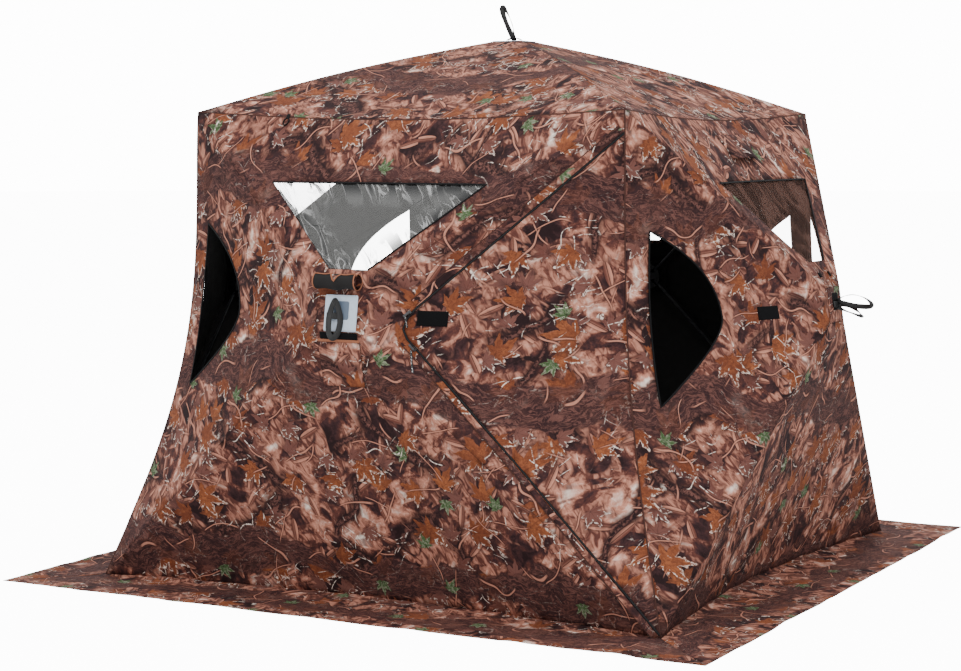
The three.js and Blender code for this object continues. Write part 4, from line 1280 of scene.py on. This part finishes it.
def rounded(half_w, half_h, radius, steps=5):
    loop = []
    for cx, cy, first in ((half_w, half_h, 0), (-half_w, half_h, 90), (-half_w, -half_h, 180), (half_w, -half_h, 270)):
        for i in range(steps + 1):
            a = math.radians(first + 90 * i / steps)
            loop.append((math.copysign(half_w - radius, cx) + radius * math.cos(a),
                         math.copysign(half_h - radius, cy) + radius * math.sin(a)))
    return np.array(loop)


class BLIND_OT_hub_trim(bpy.types.Operator):
    """Vinyl patches and pull straps on every hub, with the tabs and ring near them"""
    bl_idname = "blind.hub_trim"
    bl_label = "Patches and straps"

    def execute(self, context):
        tent = Tent()
        for quarter, side in enumerate(SIDES + ("roof",)):
            on_roof = side == "roof"
            turn = 0 if on_roof else quarter
            origin = tent.apex if on_roof else tent.hub
            up = np.array([0, 1.0, 0]) if on_roof else tent.up
            out = np.array([0, 0, 1.0]) if on_roof else tent.out
            hub = f"hub_{side}"

            def put(flat, lift):
                flat = np.asarray(flat, float)
                return quarter_turn(
                    origin + np.outer(flat[:, 0], (1, 0, 0)) + np.outer(flat[:, 1], up) + np.outer(lift, out), turn)

            aside = PATCH_ASIDE if side == "front" else np.zeros(2)
            for part, half_w, half_h, radius, low, thick, centre, finish in (
                    ("patch", PATCH_W / 2, PATCH_H / 2, 0.006, 0.0008, 0.0022, aside, "vinyl"),
                    ("inset", 0.030, 0.032, 0.007, 0.0030, 0.0010, aside + [0.003, 0.010], "vinyl_inset")):
                rings = [rounded(half_w * k, half_h * k, radius * k) + centre for k in (1, 0.985, 0.93, 0.6, 0.25)]
                count = len(rings[0])
                lifts = [low, low + thick * 0.85, low + thick, low + thick * 1.05, low + thick]
                points = np.vstack([put(r, np.full(count, h)) for r, h in zip(rings, lifts)])
                places = np.vstack(rings)
                faces = [(i * count + k, i * count + (k + 1) % count,
                          (i + 1) * count + (k + 1) % count, (i + 1) * count + k)
                         for i in range(len(rings) - 1) for k in range(count)]
                faces.append(tuple((len(rings) - 1) * count + k for k in range(count)))
                seam = from_line(places, rings[0])
                if side in ("right", "back", "left"):  # only the front and the roof have the pale patch
                    finish = {"vinyl": "camo", "vinyl_inset": "tab"}[finish]
                made = piece(f"hub_{part}_{side}", points, faces, [finish],
                             layers={"print": places, "seam": np.column_stack([seam, places[:, 0]])})
                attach(made, hub)
                if part == "patch":
                    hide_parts(f"hub_patch_{side}")
            # the band that holds the strap's bar to the patch
            path = put(np.column_stack([np.linspace(-0.030, 0.030, 9), np.zeros(9)]),
                       0.004 + 0.0115 * np.sin(np.linspace(0.25, math.pi - 0.25, 9)))
            way = unit(np.gradient(path, axis=0))
            across = np.tile(quarter_turn(up, turn), (9, 1))
            keeper = ribbon(f"strap_keeper_{side}", path, across, np.cross(way, across), 0.022, 0.0018, "satin")
            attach(keeper, hub)

            body = f"pull_strap_{side}"
            root = put([(0, 0.0)], [0.0145])[0]
            x_way = quarter_turn([(1, 0, 0)], turn)[0]
            up_way, out_way = quarter_turn(up, turn)[0], quarter_turn(out, turn)[0]
            if side in ("front", "back"):
                loop = strap_loop(f"pull_loop_{side}", root + up_way * 0.052 + out_way * 0.003 + x_way * 0.006,
                                  -up_way + out_way * 0.06 + x_way * 0.05, x_way, 0.130, 0.023, 0.021, body,
                                  roll=0.35, twist=0.5)
            elif side == "roof":
                loop = strap_loop(f"pull_loop_{side}", root - out_way * 0.004,
                                  out_way - x_way * 0.36 - up_way * 0.08, up_way + x_way,
                                  0.133, 0.011, 0.021, body, roll=0.5, twist=1.5)
            else:
                loop = strap_loop(f"pull_loop_{side}", root - out_way * 0.002 + up_way * 0.012,
                                  out_way + x_way * 0.15, up_way, 0.128, 0.020, 0.019, body,
                                  sag=0.030, roll=0.8, twist=0.9)
                strap_loop(f"pull_loop_{side}_second", root - up_way * 0.012 - out_way * 0.004,
                           out_way + x_way * 0.30, up_way * 0.8 + x_way, 0.088, 0.016, 0.019, body,
                           sag=0.046, roll=0.5, twist=1.1)
            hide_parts(body)
        facets = tent.wall(0)
        band_line = np.array([[-0.053, 0.979], [0.096, 0.979]])
        cross = band("patch_band_front", facets["foot"], band_line, 0, 0.025, 0.0024, "tab", lift=0.0036)
        sewn(cross, facets["foot"], 0)

        side_facets = tent.wall(1)
        tab = band("hook_tab_right", side_facets["left"], np.array([[-0.400, 1.034], [-0.309, 1.034]]), 1,
                   0.048, 0.0022, "tab", step=0.01)
        sewn(tab, side_facets["left"], 1)
        for name, x in (("near", -0.050), ("far", 0.050)):
            tab = band(f"hook_tab_right_{name}", side_facets["top"],
                       np.array([[x - 0.010, 1.155], [x + 0.010, 1.155]]), 1, 0.020, 0.0022, "tab", step=0.006)
            sewn(tab, side_facets["top"], 1)
        angle = np.linspace(0, math.tau, 20, endpoint=False)
        ring_line = np.column_stack([-0.493 + 0.011 * np.cos(angle), 1.716 + 0.013 * np.sin(angle)])
        ring = band("hanging_ring_front", facets["top"], ring_line, 0, 0.0045, 0.0035, "webbing",
                    lift=0.0012, closed=True)
        sewn(ring, facets["top"], 0)
        stub = band("ring_tape_front", facets["top"], np.array([[-0.493, 1.728], [-0.493, 1.744]]), 0, 0.014, 0.002,
                    "webbing", lift=0.002, step=0.005)
        sewn(stub, facets["top"], 0)
        return {"FINISHED"}


class BLIND_OT_cover_roll(bpy.types.Operator):
    """The front window's cover, rolled inside out above the hub with its pointed flap"""
    bl_idname = "blind.cover_roll"
    bl_label = "Rolled cover"

    def execute(self, context):
        low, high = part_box("window_cover_roll")
        centre = np.array([(low[0] + high[0]) / 2 + 0.010, (low[1] + high[1]) / 2 - 0.004, (low[2] + high[2]) / 2])
        fat = (high[2] - low[2]) / 2 + 0.005
        across, around = 33, 84
        turns, first = ROLL_TURNS, math.radians(62)
        x = np.linspace(-1, 1, across)
        outer = fat * (0.93 + 0.07 * np.cos(x * math.pi * 2.0) - 0.05 * np.abs(x) ** 3)
        notch = np.clip(1 - np.abs(x - 0.05) / 0.24, 0, 1) * 1.05
        points, places = [], []
        for j in range(around + 1):
            v = j / around
            for i in range(across):
                end = turns * math.tau - notch[i] * v
                angle = first - turns * math.tau + end * v
                r = outer[i] * (0.52 + 0.48 * v) + 0.0008 * math.sin(angle * 3 + x[i] * 4)
                spread = ROLL_HALF * (1 + 0.05 * (1 - v) * (1 if x[i] > 0 else 0.4))
                points.append(centre + np.array([x[i] * spread, -r * math.cos(angle), r * math.sin(angle)]))
                places.append((x[i] * ROLL_HALF, v * turns * 0.15))
        points = np.array(points)
        faces = [(j * across + i, j * across + i + 1, (j + 1) * across + i + 1, (j + 1) * across + i)
                 for j in range(around) for i in range(across - 1)]
        roll = piece("cover_roll", points, faces, ["lining", "camo"],
                     kinds=[0 if f[0] > len(points) * 0.62 else 1 for f in faces],
                     layers={"print": np.array(places), "seam": np.full((len(points), 2), 0.05)})
        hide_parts("window_cover_roll")
        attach(roll, "hub_front")
        edge = points[around * across:]
        out = edge - centre
        out[:, 0] = 0
        out = unit(out)
        ahead = unit(np.gradient(edge, axis=0))
        binding = ribbon("cover_roll_binding", edge + out * 0.0004, np.cross(ahead, out), out, 0.0050, 0.0016, "trim")
        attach(binding, "hub_front")
        for name, column in (("left", 0), ("right", across - 1)):
            rim = points[column::across]
            rim = rim[len(rim) * 6 // 10:]
            out = rim - centre
            out[:, 0] = 0
            out = unit(out)
            side = np.tile([1.0, 0, 0], (len(rim), 1))
            hem = ribbon(f"cover_roll_hem_{name}", rim, side, out, 0.0050, 0.0014, "trim")
            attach(hem, "hub_front")
        return {"FINISHED"}


class BLIND_OT_pocket_and_vent(bpy.types.Operator):
    """The pocket below the front hub and the vent hood under the right eave"""
    bl_idname = "blind.pocket_and_vent"
    bl_label = "Pocket and vent"

    def execute(self, context):
        tent = Tent()
        facet = tent.wall(0)["foot"]
        half, top, foot = POCKET_HALF, POCKET_TOP, POCKET_FOOT
        outline = np.array([[-half, foot], [half, foot], [half, top], [-half, top]]) + [POCKET_X, 0]
        made = shell("pocket_cloth", facet, outline, [], 0, thick=0.0022, shift=-0.0042, offset=(0.2, 0.3), step=0.014)
        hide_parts("pocket_front")
        declare(follow(made, facet, 0), "cloth_front_foot")
        edge = band("pocket_edge", facet, outline[[3, 2]], 0, 0.010, 0.0022, "trim", lift=0.0036)
        sewn(edge, facet, 0)

        facet = tent.wall(1)["top"]
        across, down = 40, 12
        low, high, wide = HOOD_FOOT, HOOD_TOP, HOOD_HALF
        points, places = [], []
        for depth in (0.0, 0.0018):
            for j in range(down + 1):
                for i in range(across + 1):
                    u, w = i / across, j / down
                    arch = math.sin(math.pi * u) ** 0.6 * (1 - 0.80 * math.exp(-((u - 0.5) / 0.075) ** 2))
                    lift = 0.0012 + 0.0018 + HOOD_LIFT * arch * w ** 0.9
                    x, z = -wide + 2 * wide * u, high + (low - high) * w
                    points.append((x, z, lift - depth))
                    places.append((x + 0.4, z * 1.01))
        points = np.array(points)
        world = facet.on(points[:, :2])
        world[:, 1] -= points[:, 2]
        row, n = across + 1, (across + 1) * (down + 1)
        faces, kinds = [], []
        for j in range(down):
            for i in range(across):
                a, b, c, d = j * row + i, (j + 1) * row + i, (j + 1) * row + i + 1, j * row + i + 1
                faces += [(a, b, c, d), (d + n, c + n, b + n, a + n)]
                kinds += [0, 1]
        rim = ([(i + 1, i) for i in range(across)] + [(down * row + i, down * row + i + 1) for i in range(across)]
               + [(j * row, (j + 1) * row) for j in range(down)]
               + [((j + 1) * row + across, j * row + across) for j in range(down)])
        faces += [(a, a + n, b + n, b) for a, b in rim]
        kinds += [1] * len(rim)
        seam = np.minimum(np.abs(high - points[:, 1]), 0.03)
        hood = piece("vent_hood_cloth", quarter_turn(world, 1), faces, ["camo", "lining"], kinds,
                     {"print": np.array(places), "seam": np.column_stack([seam, seam])})
        follow(hood, facet, 1)
        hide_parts("vent_hood")
        return {"FINISHED"}


class BLIND_OT_seams(bpy.types.Operator):
    """Bound seams along the corners, eaves and foot"""
    bl_idname = "blind.seams"
    bl_label = "Seams"

    def execute(self, context):
        tent = Tent()
        s = np.linspace(0, 1, 70)
        for quarter, side in enumerate(SIDES):
            facets = tent.wall(quarter)
            for name, facet, out, width in (
                    ("corner", facets["right"], (0.7071, -0.7071, 0.03), 0.0048),
                    ("eave", facets["top"], (0, -0.86, 0.50), 0.0050),
                    ("foot", facets["foot"], (0, -0.80, 0.60), 0.0070)):
                path = facet.at(s, 0 * s, crease=False)
                if name == "corner":
                    path = path + np.array([0.0006, -0.0006, 0])
                ahead = unit(np.gradient(path, axis=0))
                out = np.tile(out, (len(s), 1)).astype(float)
                side_way = unit(np.cross(ahead, out))
                turn = lambda v: quarter_turn(v, quarter)
                made = ribbon(f"seam_{name}_{side}", turn(path - out * 0.0012), turn(side_way), turn(out),
                              width, 0.0020, "seam")
                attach(made, "shelter")
        return {"FINISHED"}


# a sleeve's outline from the corner along the rod, as distance and radius: mouth, two stitched rings, bore
SLEEVE = [
    (-0.004, 0.0016), (0.0, 0.0070), (0.006, 0.0092), (0.030, 0.0088), (0.034, 0.0096), (0.038, 0.0088),
    (0.088, 0.0086), (0.092, 0.0096), (0.096, 0.0094), (0.0965, 0.0080), (0.094, 0.0067), (0.018, 0.0067),
    (0.012, 0.0030)]


class BLIND_OT_poles(bpy.types.Operator):
    """Finishes for the hubs and rods, and the stitched sleeves that hold the rods' tips"""
    bl_idname = "blind.poles"
    bl_label = "Hubs, rods and sleeves"

    def execute(self, context):
        hubs = {f"hub_{side}" for side in SIDES + ("roof",)}
        for name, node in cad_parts.items():
            if name in hubs:
                repaint(node, "plastic")
            elif name.startswith("rod_"):
                repaint(node, "rod")
        tent = Tent()
        x = np.array([1.0, 0, 0])
        wall_pin = lambda corner: rod_pin(tent.hub, x, tent.up, tent.out, corner)
        roof_pin = rod_pin(tent.apex, x, np.array([0, 1.0, 0]), np.array([0, 0, 1.0]), upper_corner(tent, -1, -1))
        names = ("front_left", "front_right", "back_right", "back_left")
        for level, place in (("upper", upper_corner), ("lower", lower_corner)):
            meet = place(tent, -1, -1)
            pins = [wall_pin(meet), quarter_turn(wall_pin(place(tent, 1, -1)), 3)[0]]
            if level == "upper":
                pins.append(roof_pin)
            points, faces = joined([lathe(SLEEVE, meet, pin - meet) for pin in pins])
            for quarter, name in enumerate(names):
                made = piece(f"rod_sleeve_{level}_{name}", quarter_turn(points, quarter), faces, ["sleeve"])
                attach(made, "shelter")
                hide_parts(f"corner_pocket_{level}_{name}")
        return {"FINISHED"}


class BLIND_OT_stage(bpy.types.Operator):
    """Camera, pale floor and soft light"""
    bl_idname = "blind.stage"
    bl_label = "Camera, floor and light"

    def execute(self, context):
        stage = context.scene.blind_stage
        camera = bpy.data.cameras.new("view")
        camera.lens, camera.sensor_width = stage.lens, 36.0
        camera.clip_end = 200
        eye = bpy.data.objects.new("view", camera)
        context.scene.collection.objects.link(eye)
        eye.location = stage.eye
        eye.rotation_euler = (math.radians(90) + stage.pitch, 0, stage.heading - math.radians(90))
        context.scene.camera = eye

        angle = np.linspace(0, math.tau, 96, endpoint=False)
        rim = np.column_stack([np.cos(angle), np.sin(angle), 0 * angle]) * FLOOR_RADIUS
        floor = piece("floor", rim, [tuple(range(96))], ["floor"])
        floor.location.z = -0.0004

        for name, place, aim, size, power in (
                ("key", (5.0, -6.5, 7.5), (0, 0, 0.9), 5.0, stage.key),
                ("fill", (-7.0, -6.0, 4.5), (0, 0, 1.0), 5.0, stage.key * 0.35),
                ("top", (0.5, 1.0, 8.5), (0, 0, 1.0), 5.0, stage.key * 0.45)):
            light = bpy.data.lights.new(name, "AREA")
            light.size, light.energy = size, power
            lamp = bpy.data.objects.new(name, light)
            context.scene.collection.objects.link(lamp)
            lamp.location = place
            lamp.rotation_euler = (Vector(aim) - Vector(place)).to_track_quat("-Z", "Y").to_euler()
        world = bpy.data.worlds.new("studio")
        context.scene.world = world
        world.use_nodes = True
        background = world.node_tree.nodes["Background"]
        background.inputs["Color"].default_value = (1, 1, 1, 1)
        path = world.node_tree.nodes.new("ShaderNodeLightPath")
        strength = world.node_tree.nodes.new("ShaderNodeMapRange")
        strength.inputs["To Min"].default_value = stage.daylight
        strength.inputs["To Max"].default_value = stage.backdrop
        world.node_tree.links.new(path.outputs["Is Camera Ray"], strength.inputs["Value"])
        world.node_tree.links.new(strength.outputs[0], background.inputs["Strength"])
        return {"FINISHED"}


OPERATORS = (
    BLIND_OT_stage, BLIND_OT_walls, BLIND_OT_roof, BLIND_OT_skirt, BLIND_OT_windows, BLIND_OT_door, BLIND_OT_hub_trim,
    BLIND_OT_cover_roll, BLIND_OT_pocket_and_vent, BLIND_OT_seams, BLIND_OT_poles)


class BLIND_PT_panel(bpy.types.Panel):
    """Lists the blind's pieces"""
    bl_idname = "BLIND_PT_panel"
    bl_label = "Pop-up Ground Blind"
    bl_space_type = "VIEW_3D"
    bl_region_type = "UI"
    bl_category = "Blind"

    def draw(self, context):
        for operator in OPERATORS:
            self.layout.operator(operator.bl_idname)
        for settings in (context.scene.blind_shape, context.scene.blind_colours, context.scene.blind_stage):
            box = self.layout.box()
            for name in type(settings).__annotations__:
                box.prop(settings, name)


GROUPS = {"blind_shape": BlindShape, "blind_colours": BlindColours, "blind_stage": BlindStage}
CLASSES = (*GROUPS.values(), *OPERATORS, BLIND_PT_panel)


def register():
    for kind in CLASSES:
        bpy.utils.register_class(kind)
    for name, kind in GROUPS.items():
        setattr(bpy.types.Scene, name, bpy.props.PointerProperty(type=kind))


def unregister():
    for name in GROUPS:
        delattr(bpy.types.Scene, name)
    for kind in reversed(CLASSES):
        bpy.utils.unregister_class(kind)


def main():
    register()
    for operator in OPERATORS:
        module, name = operator.bl_idname.split(".")
        getattr(getattr(bpy.ops, module), name)()


if __name__ == "__main__":
    main()
